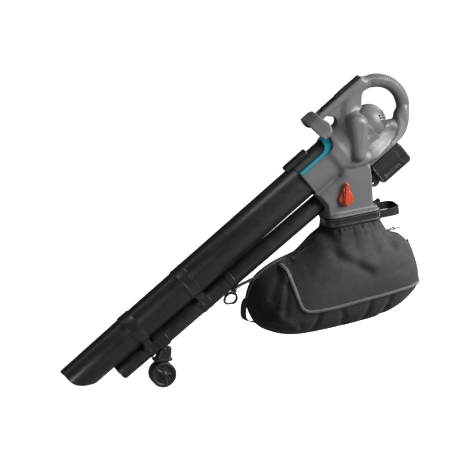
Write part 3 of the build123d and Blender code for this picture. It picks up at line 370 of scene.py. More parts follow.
def rounded_profile(corners, radius):
    """Closed outline with each corner cut back to a small arc of three points."""
    made = []
    for n, here in enumerate(corners):
        here = Vector(here)
        before = Vector(corners[n - 1])
        after = Vector(corners[(n + 1) % len(corners)])
        back, on = before - here, after - here
        reach = min(radius, back.length * 0.4, on.length * 0.4)
        first, last = here + back.normalized() * reach, here + on.normalized() * reach
        made += [first, (first + last) * 0.25 + here * 0.5, last]
    return made


def lathe(name, corners, material, place=ROW, around="X", segments=128, rim=0.5, start=None):
    """Closed ring turned about the local X (or Y) axis from (along, radius) corners.

    start(up) moves the ring's front end: it gives the least 'along' for a point at that height.
    """
    profile = rounded_profile(corners, rim)
    length = max(p[0] for p in profile)
    points = []
    for k in range(segments):
        angle = 2 * math.pi * k / segments
        for along, radius in profile:
            u, v = radius * math.cos(angle), radius * math.sin(angle)
            if start:
                first = start(v)
                along = first + (along - corners[0][0]) * (length - first) / (length - corners[0][0])
            points.append((along, u, v) if around == "X" else (u, along, v))
    faces = ring_faces(segments, len(profile))
    return flip_outwards(add_mesh(name, points, faces, material, place, 30))


def sweep(name, path, widths, profile, material, place=ROW, closed=False, smooth=40):
    """Profile of (across, thick) points carried along a path.

    widths is the direction of across: one for the whole path, or a list with one for each point.
    """
    path = [Vector(p) for p in path]
    if not isinstance(widths, list):
        widths = [Vector(widths).normalized()] * len(path)
    points = []
    for i, here in enumerate(path):
        before = path[i - 1] if closed or i else here
        after = path[(i + 1) % len(path)] if closed or i + 1 < len(path) else here
        thick = (after - before).normalized().cross(widths[i]).normalized()
        points += [here + widths[i] * a + thick * t for a, t in profile]
    n, rings = len(profile), len(path)
    faces = ring_faces(rings, n, closed)
    if not closed:
        faces += [list(range(n)), [(rings - 1) * n + j for j in reversed(range(n))]]
    return flip_outwards(add_mesh(name, points, faces, material, place, smooth))


def across_path(path, normals):
    """Direction across a path at each point, in the skin that has these normals."""
    made = []
    for i, normal in enumerate(normals):
        ahead = (path[min(i + 1, len(path) - 1)] - path[max(i - 1, 0)]).normalized()
        made.append(normal.cross(ahead).normalized())
    return made


def round_wire(radius, sides=10):
    """Section of a wire or cord."""
    return [(radius * math.cos(2 * math.pi * k / sides), radius * math.sin(2 * math.pi * k / sides))
            for k in range(sides)]


def flat_band(width, thick):
    """Section of a strap: flat, with rounded edges."""
    half, t = width / 2, thick / 2
    ends = [(half - t + t * math.cos(a), t * math.sin(a)) for a in (-1.57, -0.8, 0, 0.8, 1.57)]
    return ends + [(-a, -b) for a, b in ends]


def curve_through(points, steps, closed=False):
    """Smooth curve through the points, steps points to each stretch."""
    p = [Vector(q) for q in points]
    count = len(p) if closed else len(p) - 1
    made = []
    for i in range(count):
        a = p[i - 1] if closed or i else p[0] * 2 - p[1]
        b, c = p[i], p[(i + 1) % len(p)]
        d = p[(i + 2) % len(p)] if closed or i + 2 < len(p) else c * 2 - b
        for k in range(steps):
            t = k / steps
            made.append(0.5 * ((2 * b) + (c - a) * t + (2 * a - 5 * b + 4 * c - d) * t * t
                               + (3 * b - 3 * c + d - a) * t ** 3))
    return made if closed else made + [p[-1]]


def softened_block(name, low, high, radius, material, place=ROW):
    """Box with rounded edges, made from a bevelled cage."""
    work = bmesh.new()
    bmesh.ops.create_cube(work, size=1)
    size = [b - a for a, b in zip(low, high)]
    middle = [(a + b) / 2 for a, b in zip(low, high)]
    for v in work.verts:
        v.co = Vector([m + c * s for m, c, s in zip(middle, v.co, size)])
    bmesh.ops.bevel(work, geom=work.edges[:], offset=radius, segments=4, profile=0.5, affect="EDGES")
    work.verts.index_update()
    points = [v.co.copy() for v in work.verts]
    faces = [[v.index for v in f.verts] for f in work.faces]
    work.free()
    return add_mesh(name, points, faces, material, place, 50)


def join(name, pieces):
    """One object from several."""
    work = bmesh.new()
    for piece in pieces:
        work.from_mesh(piece.data)
    first = pieces[0]
    work.to_mesh(first.data)
    work.free()
    for piece in pieces[1:]:
        bpy.data.objects.remove(piece)
    first.name = name
    first.data.name = name
    return first


# ---------------------------------------------------------------------------------- materials
class Graph:
    """Short way to write a node material."""

    def __init__(self, name):
        self.material = bpy.data.materials.new(name)
        self.material.use_nodes = True
        self.tree = self.material.node_tree
        self.shader = self.tree.nodes["Principled BSDF"]
        self.place = self.add("ShaderNodeTexCoord").outputs["Object"]

    def add(self, kind, values=(), **settings):
        """New node; values maps socket names to constants or to sockets to link from."""
        node = self.tree.nodes.new(kind)
        for key, value in settings.items():
            setattr(node, key, value)
        for key, value in dict(values).items():
            self.feed(node.inputs[key], value)
        return node

    def feed(self, socket, value):
        if isinstance(value, bpy.types.NodeSocket):
            self.tree.links.new(value, socket)
        else:
            socket.default_value = value

    def set(self, **values):
        for key, value in values.items():
            self.feed(self.shader.inputs[key.replace("_", " ")], value)

    def noise(self, scale, detail=3.0, where=None, rough=0.55):
        values = {"Vector": where or self.place, "Scale": scale, "Detail": detail, "Roughness": rough}
        return self.add("ShaderNodeTexNoise", values).outputs["Fac"]

    def scaled(self, x, y, z, turn=(0.0, 0.0, 0.0)):
        return self.add("ShaderNodeMapping", {"Vector": self.place, "Scale": (x, y, z),
                                              "Rotation": turn}).outputs["Vector"]

    def spread(self, value, low, high, to_low=0.0, to_high=1.0):
        return self.add("ShaderNodeMapRange", {"Value": value, "From Min": low, "From Max": high,
                                               "To Min": to_low, "To Max": to_high}).outputs["Result"]

    def maths(self, operation, a, b=0.0):
        node = self.add("ShaderNodeMath", operation=operation)
        self.feed(node.inputs[0], a)
        self.feed(node.inputs[1], b)
        return node.outputs[0]

    def mix(self, share, a, b):
        node = self.add("ShaderNodeMix", data_type="RGBA")
        self.feed(node.inputs["Factor"], share)
        self.feed(node.inputs[6], a)
        self.feed(node.inputs[7], b)
        return node.outputs[2]

    def worn_edges(self, start=0.52, full=0.60, patch=90.0):
        """1 on convex edges, broken up by noise."""
        edge = self.spread(self.add("ShaderNodeNewGeometry").outputs["Pointiness"], start, full)
        return self.maths("MULTIPLY", edge, self.spread(self.noise(patch, 4), 0.35, 0.7))

    def crease_shade(self, start=0.48, full=0.40):
        """1 deep in creases; used to paint shade into them."""
        return self.spread(self.add("ShaderNodeNewGeometry").outputs["Pointiness"], start, full)

    def bump(self, height, depth, under=None, strength=1.0):
        values = {"Height": height, "Distance": depth, "Strength": strength}
        if under:
            values["Normal"] = under
        return self.add("ShaderNodeBump", values).outputs["Normal"]


def tint(colour, k):
    """Colour made k times lighter, at most white."""
    return (min(1, colour[0] * k), min(1, colour[1] * k), min(1, colour[2] * k), 1)


def moulded(name, colour, rough=0.45, grain=900.0, depth=0.00006, variation=0.10, wear=1.7, coat=0.0,
            rough_spread=0.06, streaks=None, shine=0.5):
    """Moulded plastic: mottled colour, spark-eroded grain, paler worn edges and painted shade in the creases."""
    g = Graph(name)
    blotch = g.noise(22, 4)
    colour_field = g.mix(blotch, tint(colour, 1 - variation), tint(colour, 1 + variation))
    speck = g.spread(g.noise(grain * 0.6, 2), 0.45, 0.75)
    colour_field = g.mix(g.maths("MULTIPLY", speck, 0.25), colour_field, tint(colour, 1.35))
    colour_field = g.mix(g.maths("MULTIPLY", g.worn_edges(), 0.55), colour_field, tint(colour, wear))
    # painted shade: creases darkened
    colour_field = g.mix(g.maths("MULTIPLY", g.crease_shade(), 0.35), colour_field, tint(colour, 0.45))
    roughness = g.spread(g.noise(35, 5), 0.3, 0.7, rough - rough_spread, rough + rough_spread)
    normal = g.bump(g.noise(grain, 3), depth)
    if streaks:
        along = g.scaled(*streaks)
        normal = g.bump(g.noise(1.0, 3, along), depth * 1.4, normal)
        roughness = g.maths("ADD", roughness, g.spread(g.noise(1.0, 2, along), 0.3, 0.7, -0.04, 0.04))
    g.set(Base_Color=colour_field, Roughness=roughness, Normal=normal, Coat_Weight=coat, Coat_Roughness=0.12,
          Specular_IOR_Level=shine)
    return g.material


def rubber(name, colour):
    """Soft-touch elastomer with a fine leathery skin."""
    g = Graph(name)
    field = g.mix(g.noise(30, 5), tint(colour, 0.86), tint(colour, 1.16))
    field = g.mix(g.maths("MULTIPLY", g.worn_edges(), 0.5), field, tint(colour, 1.6))
    cells = g.add("ShaderNodeTexVoronoi", {"Vector": g.place, "Scale": 700.0})
    normal = g.bump(cells.outputs["Distance"], 0.00007)
    g.set(Base_Color=field, Roughness=g.spread(g.noise(60), 0.3, 0.7, 0.5, 0.66), Normal=normal,
          Sheen_Weight=0.12, Specular_IOR_Level=0.4)
    return g.material


def woven(name, colour, pitch, depth, sheen=0.25, ribbed=False, rough=0.8, painted_front_shade=False):
    """Woven cloth: crossing threads about pitch metres apart, each a little different in tone.

    With the front-shade option, painted shade turns the cloth nearly black towards the bag's front end.
    """
    g = Graph(name)
    parts = g.add("ShaderNodeSeparateXYZ", {"Vector": g.place}).outputs
    wobble = g.maths("MULTIPLY", g.noise(60, 2), 0.0008)
    across = g.maths("ADD", g.maths("ADD", parts["X"], g.maths("MULTIPLY", parts["Y"], 0.62)), wobble)
    up = g.maths("ADD", g.maths("ADD", parts["Z"], g.maths("MULTIPLY", parts["Y"], 0.71)), wobble)
    turns = 2 * math.pi / pitch
    warp = g.maths("SINE", g.maths("MULTIPLY", across, turns * (0.5 if ribbed else 1)))
    weft = g.maths("SINE", g.maths("MULTIPLY", up, turns))
    cross = g.maths("MULTIPLY", warp, weft)
    thread = g.spread(cross, -1, 1)
    tone = g.mix(g.noise(16, 4), tint(colour, 0.82), tint(colour, 1.2))
    tone = g.mix(g.maths("MULTIPLY", thread, 0.5), tone, tint(colour, 1.65))
    slub = g.noise(1.0, 2, g.scaled(40, 40, 900))
    tone = g.mix(g.maths("MULTIPLY", g.spread(slub, 0.55, 0.8), 0.35), tone, tint(colour, 1.5))
    tone = g.mix(g.maths("MULTIPLY", g.worn_edges(0.51, 0.56, 40), 0.5), tone, tint(colour, 1.9))
    # painted shade: creases darkened
    tone = g.mix(g.maths("MULTIPLY", g.crease_shade(0.49, 0.43), 0.4), tone, tint(colour, 0.5))
    # painted shade: the cloth darkens towards the bag's front end, where its left-facing side lies in shadow
    if painted_front_shade:
        back = g.maths("SUBTRACT", parts["X"], g.maths("MULTIPLY", parts["Z"], 0.8))
        tone = g.mix(g.spread(back, 0.14, 0.27), tint(colour, 0.10), tone)
    normal = g.bump(thread, depth)
    normal = g.bump(g.noise(45, 4), depth * 6, normal, 0.7)
    roughness = g.spread(g.noise(50), 0.3, 0.7, rough - 0.08, rough + 0.08)
    g.set(Base_Color=tone, Roughness=roughness, Normal=normal, Sheen_Weight=sheen, Sheen_Roughness=0.5,
          Specular_IOR_Level=0.3)
    return g.material


def metal(name, colour, rough=0.3, brushed=(400, 40, 400)):
    """Drawn or rolled metal with fine lines, and painted shade in its creases."""
    g = Graph(name)
    field = g.mix(g.noise(70, 5), tint(colour, 0.8), tint(colour, 1.12))
    # painted shade: creases darkened
    field = g.mix(g.maths("MULTIPLY", g.crease_shade(), 0.6), field, tint(colour, 0.25))
    lines = g.noise(1.0, 3, g.scaled(*brushed))
    g.set(Base_Color=field, Metallic=1.0, Roughness=g.spread(lines, 0.3, 0.7, rough - 0.08, rough + 0.12),
          Normal=g.bump(lines, 0.00003))
    return g.material


def circuit(name):
    """Green board with fine copper tracks under the lacquer."""
    g = Graph(name)
    tracks = g.add("ShaderNodeTexBrick", {"Vector": g.scaled(160, 160, 160, (0, TILT, 0)), "Scale": 1.0,
                                          "Mortar Size": 0.08})
    tracks.inputs["Color1"].default_value = (0.01, 0.12, 0.04, 1)
    tracks.inputs["Color2"].default_value = (0.015, 0.16, 0.06, 1)
    tracks.inputs["Mortar"].default_value = (0.12, 0.20, 0.06, 1)
    g.set(Base_Color=tracks.outputs["Color"], Roughness=g.spread(g.noise(80), 0.3, 0.7, 0.3, 0.45),
          Normal=g.bump(tracks.outputs["Fac"], 0.00005))
    return g.material


GREY = (0.086, 0.0885, 0.092)
TUBE_BLACK = moulded("tube_black", (0.0095, 0.0098, 0.0105), 0.34, 700, 0.00003, 0.15, 2.2, 0.12,
                     0.05, streaks=(30, 260, 260), shine=0.55)
COUPLING = moulded("coupling_black", (0.0085, 0.0085, 0.009), 0.40, 900, 0.00006, 0.12, 2.4)
HOUSING = moulded("housing_grey", GREY, 0.47, 1100, 0.00006, 0.06, 1.5, 0.0, 0.04)
TRIM = moulded("accent_teal", (0.005, 0.225, 0.285), 0.34, 800, 0.00003, 0.06, 1.5, 0.2)
ORANGE = moulded("lever_orange", (0.42, 0.030, 0.006), 0.24, 700, 0.00003, 0.08, 1.25, 0.6)
SOFT = rubber("grip_soft", (0.056, 0.0575, 0.060))
PANEL = moulded("panel_black", (0.006, 0.006, 0.0065), 0.42, 600, 0.00002, 0.1, 2.5, 0.0)
LAMP = moulded("window_smoke", (0.004, 0.004, 0.005), 0.30, 500, 0.00001, 0.1, 2.0, 0.2)
# the bag's cloth, with painted shade towards its front end
FABRIC = woven("bag_fabric", (0.0215, 0.022, 0.0238), 0.0011, 0.00011, 0.05, painted_front_shade=True)
WEBBING = woven("webbing", (0.016, 0.016, 0.0175), 0.0019, 0.00025, 0.2, True, 0.7)
PIPING = woven("piping", (0.058, 0.06, 0.064), 0.0013, 0.00012, 0.3, False, 0.6)
THREAD = woven("thread", (0.11, 0.112, 0.118), 0.0006, 0.00006, 0.3)
BATTERY = moulded("battery_black", (0.010, 0.010, 0.011), 0.42, 1000, 0.00007, 0.15, 2.6, shine=0.35)
STEEL = metal("steel", (0.56, 0.57, 0.58), 0.28)
BLADE = metal("blade_steel", (0.45, 0.46, 0.47), 0.34, (40, 500, 500))
FAN = moulded("fan_plastic", (0.03, 0.03, 0.031), 0.5, 500, 0.0001, 0.2)
IRON = metal("stator_iron", (0.22, 0.22, 0.23), 0.45, (900, 60, 60))
COPPER = metal("copper", (0.8, 0.48, 0.2), 0.25)
BOARD = circuit("board_green")
CELL = moulded("cell_blue", (0.03, 0.10, 0.34), 0.3, 500, 0.00003, 0.1, 1.5, 0.4)
SEAL = rubber("seal_rubber", (0.02, 0.02, 0.021))
WHEEL = moulded("wheel_black", (0.010, 0.010, 0.0105), 0.48, 700, 0.0001, 0.2, 2.6)
WIRE = rubber("wire_red", (0.35, 0.02, 0.015))
ZIP = moulded("zip_black", (0.018, 0.018, 0.019), 0.4, 900, 0.00005)


def dress(node, material):
    """Gives a CAD node that stays on show its material."""
    piece = frame["nodes"][node]
    piece.data.materials.clear()
    piece.data.materials.append(material)
    piece.data.shade_smooth()
    piece.data.set_sharp_from_angle(angle=math.radians(30))


for material, nodes in (
        (STEEL, ("rotor_shaft", "motor_bearings", "housing_screws", "impeller_nut", "latch_pin",
                 "lever_screw", "wheel_axle")),
        (BLADE, ("shredder_blade",)),
        (FAN, ("impeller", "motor_end_plate", "diverter_drum")),
        (IRON, ("motor_stator", "rotor_core")),
        (COPPER, ("battery_contacts",)),
        (BOARD, ("control_board",)),
        (CELL, ("battery_cells",)),
        (WIRE, ("wiring",)),
        (COUPLING, ("power_switch", "battery_dock", "tube_bridges"))):
    for node in nodes:
        dress(node, material)


# ------------------------------------------------------------------------------- suction tube
WALL = 2.2
CUT_Z = 32.0
CORNER_BLEND = 30.0


def mouth_start(up):
    """Where the nozzle begins at a height above its axis: square above, level with the ground below."""
    level = (CUT_Z - MOUTH.z - up * math.cos(TILT)) / math.sin(TILT)
    gap = max(CORNER_BLEND - abs(level), 0) / CORNER_BLEND
    return max(level, 0) + gap * gap * CORNER_BLEND * 0.25


def tube_piece(name, corners, node, material, place=TUBE, rim=0.6, start=None, slot="tube_black"):
    """Turned tube section that stands for a node of the CAD model."""
    piece = lathe(name, corners, material, place, rim=rim, start=start)
    return settle(piece, "machine", slot, node)


NOZZLE = [(0, 45.8), (0, 48), (200, 49.6), (222, 50), (225.5, 53), (262.6, 53), (262.6, 50.6),
          (228.5, 50.6), (228.5, 47.8)]
TUBE_MIDDLE = [(228.8, 48.3), (228.8, 50.5), (429, 50.5), (431.5, 53.5), (437, 53.5), (438, 53.0),
               (462, 53.0), (463, 53.5), (469.6, 53.5), (469.6, 50.6), (434.5, 50.6), (434.5, 48.3)]
TUBE_UPPER = [(434.8, 48.3), (434.8, 50.5), (470.1, 50.5), (470.1, 52.5), (1002.5, 52.5), (1002.5, 50.3),
              (475, 50.3), (471, 48.3)]
SOCKET = [(900.5, 52.6), (900.5, 55.2), (902, 55.5), (1040.8, 55.5), (1040.8, 49.5), (1003.5, 49.5),
          (1003.5, 52.6)]
tube_piece("nozzle", NOZZLE, "suction_nozzle", TUBE_BLACK, start=mouth_start)
tube_piece("tube_middle", TUBE_MIDDLE, "suction_tube_middle", TUBE_BLACK)
tube_piece("tube_upper", TUBE_UPPER, "suction_tube_upper", TUBE_BLACK)
tube_piece("socket", SOCKET, "inlet_socket", COUPLING)


def latch_pads():
    """Two raised catches on the right side of the upper tube joint's collar."""
    made = []
    for angle in (205, 235):
        place = TUBE @ Matrix.Rotation(math.radians(angle), 4, "X")
        catch = softened_block(f"catch_{angle}", (443.5, -4, 51.8), (449.5, 4, 54.6), 1.0, COUPLING, place)
        made.append(catch)
    return settle(join("tube_catches", made), "machine", "coupling_black")


latch_pads()


# --------------------------------------------------------------------------------- blower tube
BLOWER_TIP = 127.0
BLOWER_CUT_Z = 37.0
BLOWER_BLEND = 14.0


def blower_start(up):
    """Front end of the blower's mouth, cut like the nozzle above it."""
    height = up - BLOWER_DROP
    level = (BLOWER_CUT_Z - MOUTH.z - height * math.cos(TILT)) / math.sin(TILT)
    gap = max(BLOWER_BLEND - abs(level - BLOWER_TIP), 0) / BLOWER_BLEND
    return max(level, BLOWER_TIP) + gap * gap * BLOWER_BLEND * 0.25


BLOWER_MOUTH = [(BLOWER_TIP, 21.8), (BLOWER_TIP, 24), (243.6, 24), (243.6, 21.8)]
BLOWER_MIDDLE = [(246.4, 21.6), (246.4, 23.8), (262.4, 23.8), (262.4, 26.3), (448.6, 26.3), (448.6, 21.6)]
BLOWER_UPPER = [(450.4, 24.1), (450.4, 26.3), (470.4, 26.3), (470.4, 27.3), (911, 27.3), (911, 25.1),
                (474.5, 25.1), (471.5, 24.1)]
SLEEVE_LOWER = [(229, 24.1), (229, 25.4), (231, 26.0), (239, 26.0), (240, 25.5), (251, 25.5), (252, 26),
                (260, 26.0), (262, 25.4), (262, 23.9), (246, 23.9), (246, 23), (245, 23), (245, 24.1)]
SLEEVE_UPPER = [(433, 26.4), (433, 27.7), (435, 28.3), (444, 28.3), (445, 27.8), (458, 27.8), (459, 28.3),
                (468, 28.3), (470, 27.7), (470, 26.4), (450, 26.4), (450, 25.3), (449, 25.3), (449, 26.4)]
tube_piece("blower_mouth", BLOWER_MOUTH, "blower_nozzle", TUBE_BLACK, BLOWER, start=blower_start)
tube_piece("blower_middle", BLOWER_MIDDLE, "blower_tube_middle", TUBE_BLACK, BLOWER)
tube_piece("blower_upper", BLOWER_UPPER, "blower_tube_upper", TUBE_BLACK, BLOWER)
for name, corners, node in (("sleeve_lower", SLEEVE_LOWER, "blower_coupling_lower"),
                            ("sleeve_upper", SLEEVE_UPPER, "blower_coupling_upper")):
    tube_piece(name, corners, node, COUPLING, BLOWER, 0.35, slot="coupling_black")


# ------------------------------------------------------------------------------ support wheels
def bracket_field(x, y, z):
    """Clamp collar, tapered stem, fender band and axle blade."""
    b, h = in_frame(BLOWER, x, z)
    _, v = in_frame(TUBE, x, z)
    collar = cylinder(np.hypot(h, y), b, 29.3, 265, 302, 1.5)
    share = np.clip((z - 79) / 36, 0, 1)
    stem_x = np.abs(x - 9 * share) - (24 - 6 * share)
    stem_y = np.abs(y) - 17.5 + share
    stem = corner_distance(corner_distance(stem_x, stem_y, 11), np.abs(z - 97) - 20, 2)
    band = corner_distance(corner_distance(np.abs(x) - 28.5, np.abs(y) - 22.5, 14), np.abs(z - 82) - 3, 1.4)
    blade = plate(outline(x, z, [(-14, 81), (-8.5, WHEEL_R), (8.5, WHEEL_R), (14, 81)]), y, 4, 1)
    boss = cylinder(np.hypot(x, z - WHEEL_R), y, 9.5, -5.5, 5.5, 0.8)
    body = union(union(collar, stem, blend=5), band, blend=2)
    body = union(body, union(blade, boss, blend=3), blend=3)
    body = cut(body, np.hypot(h, y) - 26.35, np.hypot(v, y) - 51.1)
    return cut(body, np.hypot(x, z - WHEEL_R) - 4.05)


stem = sculpt("wheel_stem", bracket_field, *box_mm("wheel_bracket"), FINE, COUPLING)
settle(stem, "machine", "coupling_black", "wheel_bracket")


TYRE_R = 38.0
TREAD_RIBS = 44
SPOKES = 5


def wheel_field(x, y, z):
    """Wheel about the Y axis at the origin, outer face towards +Y: ribbed tread, dished web, raised hub."""
    r = np.hypot(x, z)
    angle = np.arctan2(z, x)
    body = cylinder(r, y, TYRE_R, 6, 22, 3.2)
    groove = 0.45 * np.maximum(np.cos(TREAD_RIBS * angle), 0) ** 6 * np.clip((r - 34) / 3, 0, 1)
    body = body + groove
    dish = cylinder(r, y, 29, 17.5, 40, 2.5)
    back = cylinder(r, y, 30, -10, 8.6, 1.5)
    hub = cylinder(r, y, 10.8, 6, 21.2, 1.2)
    spoke = np.abs((angle * SPOKES / (2 * math.pi)) % 1 - 0.5) * 2 * math.pi / SPOKES * r - 3.2
    spokes = common(common(spoke, np.abs(y - 15) - 4.5, blend=1.5), r - 31)
    body = union(cut(body, dish, back, blend=1.5), spokes, hub, blend=2)
    return cut(body, r - 4.06)


AXLE_CAP = [(22.3, 4.02), (22.3, 8), (23.5, 9), (25.3, 7.5), (26.5, 4.5), (26.8, 0.01), (24.51, 0.01),
            (24.51, 4.02)]
for side, name in ((-1, "left"), (1, "right")):
    turn = Matrix.Translation((0, 0, WHEEL_R)) @ Matrix.Rotation(0 if side > 0 else math.pi, 4, "Z")
    wheel = sculpt(f"wheel_{name}_tyre", wheel_field, (-TYRE_R, 6, -TYRE_R), (TYRE_R, 22, TYRE_R), FINE,
                   WHEEL, turn)
    settle(wheel, f"wheel_{name}", "wheel_black", f"wheel_{name}")
    cap = lathe(f"axle_cap_{name}", AXLE_CAP, COUPLING, turn, around="Y", segments=48)
    settle(cap, "machine", "wheel_black", "axle_caps")


# --------------------------------------------------------------------------- strap anchorage
BAIL = [(190, 0, 243), (197, 0, 234), (217, 0, 234), (227, 0, 245), (225, 0, 260), (213, 0, 266),
        (197, 0, 259)]
EYELET_R = 6.5


def hook_field(x, y, z):
    """Clip band round the blower tube and the flat bail that hangs under it."""
    b, h = in_frame(BLOWER, x, z)
    r = np.hypot(h, y)
    band = cut(cylinder(r, b, UPPER_BLOWER_R + 2.6, 543, 561, 1), r - UPPER_BLOWER_R - 0.05)
    bail_line = [(p.x, p.z) for p in curve_through(BAIL, 4, closed=True)]
    bail = plate(np.abs(outline(x, z, bail_line)) - 3.1, y, 5, 2.2)
    neck = plate(outline(x, z, [(208, 262), (222, 258), (232, 283), (218, 292)]), y, 4, 1.5)
    neck = cut(neck, r - UPPER_BLOWER_R - 1.0)
    return union(band, union(bail, neck, blend=3), blend=2)


bail_hook = sculpt("hook", hook_field, *box_mm("strap_hook"), FINE, COUPLING)
settle(bail_hook, "machine", "coupling_black", "strap_hook")
low, high = box_mm("strap_eyelet")
eye_path = [(low + high) / 2 + EYELET_R * Vector((math.cos(a), 0, math.sin(a)))
            for a in np.linspace(0, 2 * math.pi, 49)[:-1]]
eyelet = sweep("eyelet", eye_path, (0, 1, 0), round_wire(1.6), STEEL, closed=True)
settle(eyelet, "machine", "steel", "strap_eyelet")


# --------------------------------------------------------------------------------- the head
BULGE_TOP = (581.0, 757.0)
BULGE_TOP_R = 31.0
BULGE_LOW = (582.0, 669.0)
BULGE_LOW_R = 22.0
BULGE_Y = 78.0
BULGE_RIM = 22.0
HANDLE_FILLET = 22.0
TRIM_WINDOW = [(880, CRADLE_TOP), (1008, CRADLE_TOP), (1023, 34), (1033, 42), (1039, 54), (1042, 90),
               (880, 90)]
VOLUTE = [(1006, 6), (1011, -28), (1022, -48), (1040, -66), (1070, -80), (1112, -90), (1160, -92.5),
          (1186, -88), (1212, -83), (1224, -70), (1212, -42), (1186, -26), (1150, -16), (1104, -8), (1104, 6)]
RAIL = [(1050, -78), (1064, -88), (1078, -98.4), (1184, -98.6), (1206, -98.6), (1222, -96), (1236, -89),
        (1249, -76), (1259, -60), (1266, -40), (1240, -40), (1222, -66), (1196, -82), (1120, -86)]
DUCT = [(497, 483), (633, 501), (629, 572), (627, 600), (623, 626), (612, 640), (596, 690), (558, 668),
        (531, 603), (465, 550), (490, 520)]
DUCT_ROOM = [(517, 478), (592, 488), (592, 590), (612, 640), (590, 665), (556, 632), (531, 592),
             (508, 574), (501.5, 560), (501.5, 505), (508, 497)]
REAR_POCKET = [(598, 512), (630, 517), (626, 566), (621, 584), (610, 596), (598, 588)]
VALLEY_V = -55.0
VALLEY_REACH = 36.0
VALLEY_DROP = 14.0
LIP_DISH = 7.0
LUG = [(612, 600), (622, 566), (641, 555), (654, 555), (663, 562), (667, 572), (658, 592), (620, 612)]
WEB = [(1066, 112), (1228, 112), (1199, 88), (1187, 70), (1176, 58), (1170, 44), (1150, 28), (1100, 34),
       (1088, 52), (1090, 84)]
SCREWS = [(1140.0, 88.0), (1250.0, 82.0), (1281.0, 15.0), (1225.0, -62.0)]
STRAP_EYE = Vector(MOUNTS["shoulder_strap_eye"]["pos_m"]) / MM
STRAP_EYE_R = MOUNTS["shoulder_strap_eye"]["dims"]["r_mm"]


def rounded_flange(x, y, z, grow, z0, z1, rim):
    """Plate of the outlet flange's plan, in its own frame: blunt in front, squarer behind."""
    front, rear = FLANGE_REACH[0] - grow, FLANGE_REACH[1] + grow
    half = FLANGE_WIDTH / 2 + grow
    across = np.abs(y) - half
    blunt = corner_distance(front - x, across, 38 + grow)
    square = corner_distance(x - rear, across, 14 + grow)
    return corner_distance(np.maximum(blunt, square), np.abs(z - (z0 + z1) / 2) - (z1 - z0) / 2, rim)


def dome(s, r, radius, end):
    """Straight to the shoulder, then a quarter ellipse."""
    reach = end - DOME_SHOULDER
    k = np.hypot(np.maximum(s - DOME_SHOULDER, 0) / reach, r / radius)
    return (k - 1) * min(reach, radius)


def ease(t):
    """0 below 0, 1 above 1, smooth between."""
    t = np.clip(t, 0, 1)
    return t * t * (3 - 2 * t)


def duct_half(s, v):
    """Half width of the outlet duct, which falls away towards the tube socket above it."""
    fall = np.clip(1 - (VALLEY_V - v) / VALLEY_REACH, 0, 1.4) ** 2 * VALLEY_DROP
    return DUCT_HALF - fall * ease((1012 - s) / 50)


def head_outer(x, y, z):
    """Outside of the whole housing: fan case, outlet duct, bulges, ring handle, beam and flange."""
    s, v = in_frame(TUBE, x, z)
    b, h = in_frame(BLOWER, x, z)
    fx, fz = in_frame(FLANGE, x, z)
    r = np.hypot(v, y)
    cradle = cylinder(r, s, CRADLE_R, HEAD_FRONT, 1040, 1.2)
    snout = cylinder(np.hypot(h, y), b, UPPER_BLOWER_R + 4.2, HEAD_FRONT + 0.5, 985, 1.2)
    front = union(cradle, snout, blend=9)
    front = np.maximum(front, HEAD_FRONT - s)
    fan = cylinder(r, s, FAN_R, 1008, 1106, 9)
    fan = union(fan, cylinder(r, s, MOTOR_R + 3, 1012, DOME_START, 2), blend=16)
    rim_line = outline(s, v, VOLUTE)
    dish = LIP_DISH * ease((-rim_line - 7) / 24) * ease((s - 1078) / 26)
    volute = plate(rim_line, y, 57 - 37 * ease((s - 1100) / 112) - dish, 12)
    duct = plate(outline(x, z, DUCT), y, duct_half(s, v), 7)
    duct = union(duct, front, blend=18)
    rail = plate(outline(s, v, RAIL), y, 37 - np.clip((s - 1170) / 70, 0, 1) * 18, 5)
    lug = plate(outline(x, z, LUG), y, 7, 2)
    web = plate(outline(s, v, WEB), y, WEB_HALF, 3)
    beam = bar(s, y, v, (1054, -BEAM_HALF, BEAM_BOTTOM), (1226, BEAM_HALF, BEAM_TOP), 6.5)
    away = np.hypot(x - RING_X, z - RING_Z) - RING_R
    ring = corner_distance(np.abs(away) - GRIP_T / 2, np.abs(y) - GRIP_W / 2, GRIP_ROUND)
    pill = tapered_pill(x, z, BULGE_TOP, BULGE_TOP_R, BULGE_LOW, BULGE_LOW_R)
    bulge = plate(pill, y, BULGE_Y, BULGE_RIM)
    body = union(union(fan, volute, blend=9), front, blend=20)
    body = union(body, duct, blend=3.5)
    body = cut(body, plate(outline(s, v, TRIM_WINDOW), y, 90, 0), blend=2.5)
    body = union(body, rail, blend=2)
    body = union(body, lug, blend=8)
    handle = union(union(web, beam, blend=4), ring, blend=12)
    body = union(body, handle, blend=HANDLE_FILLET)
    body = union(body, bulge, blend=5)
    flange = rounded_flange(fx, y, fz, 0, 0, 5.5, 1.6)
    rib = rounded_flange(fx, y, fz, 1.6, 0.2, 3.2, 0.9)
    skirt = rounded_flange(fx, y, fz, -2.4, 4, 15, 4)
    return union(union(body, skirt, blend=3), union(flange, rib, blend=0.6), blend=0.8)


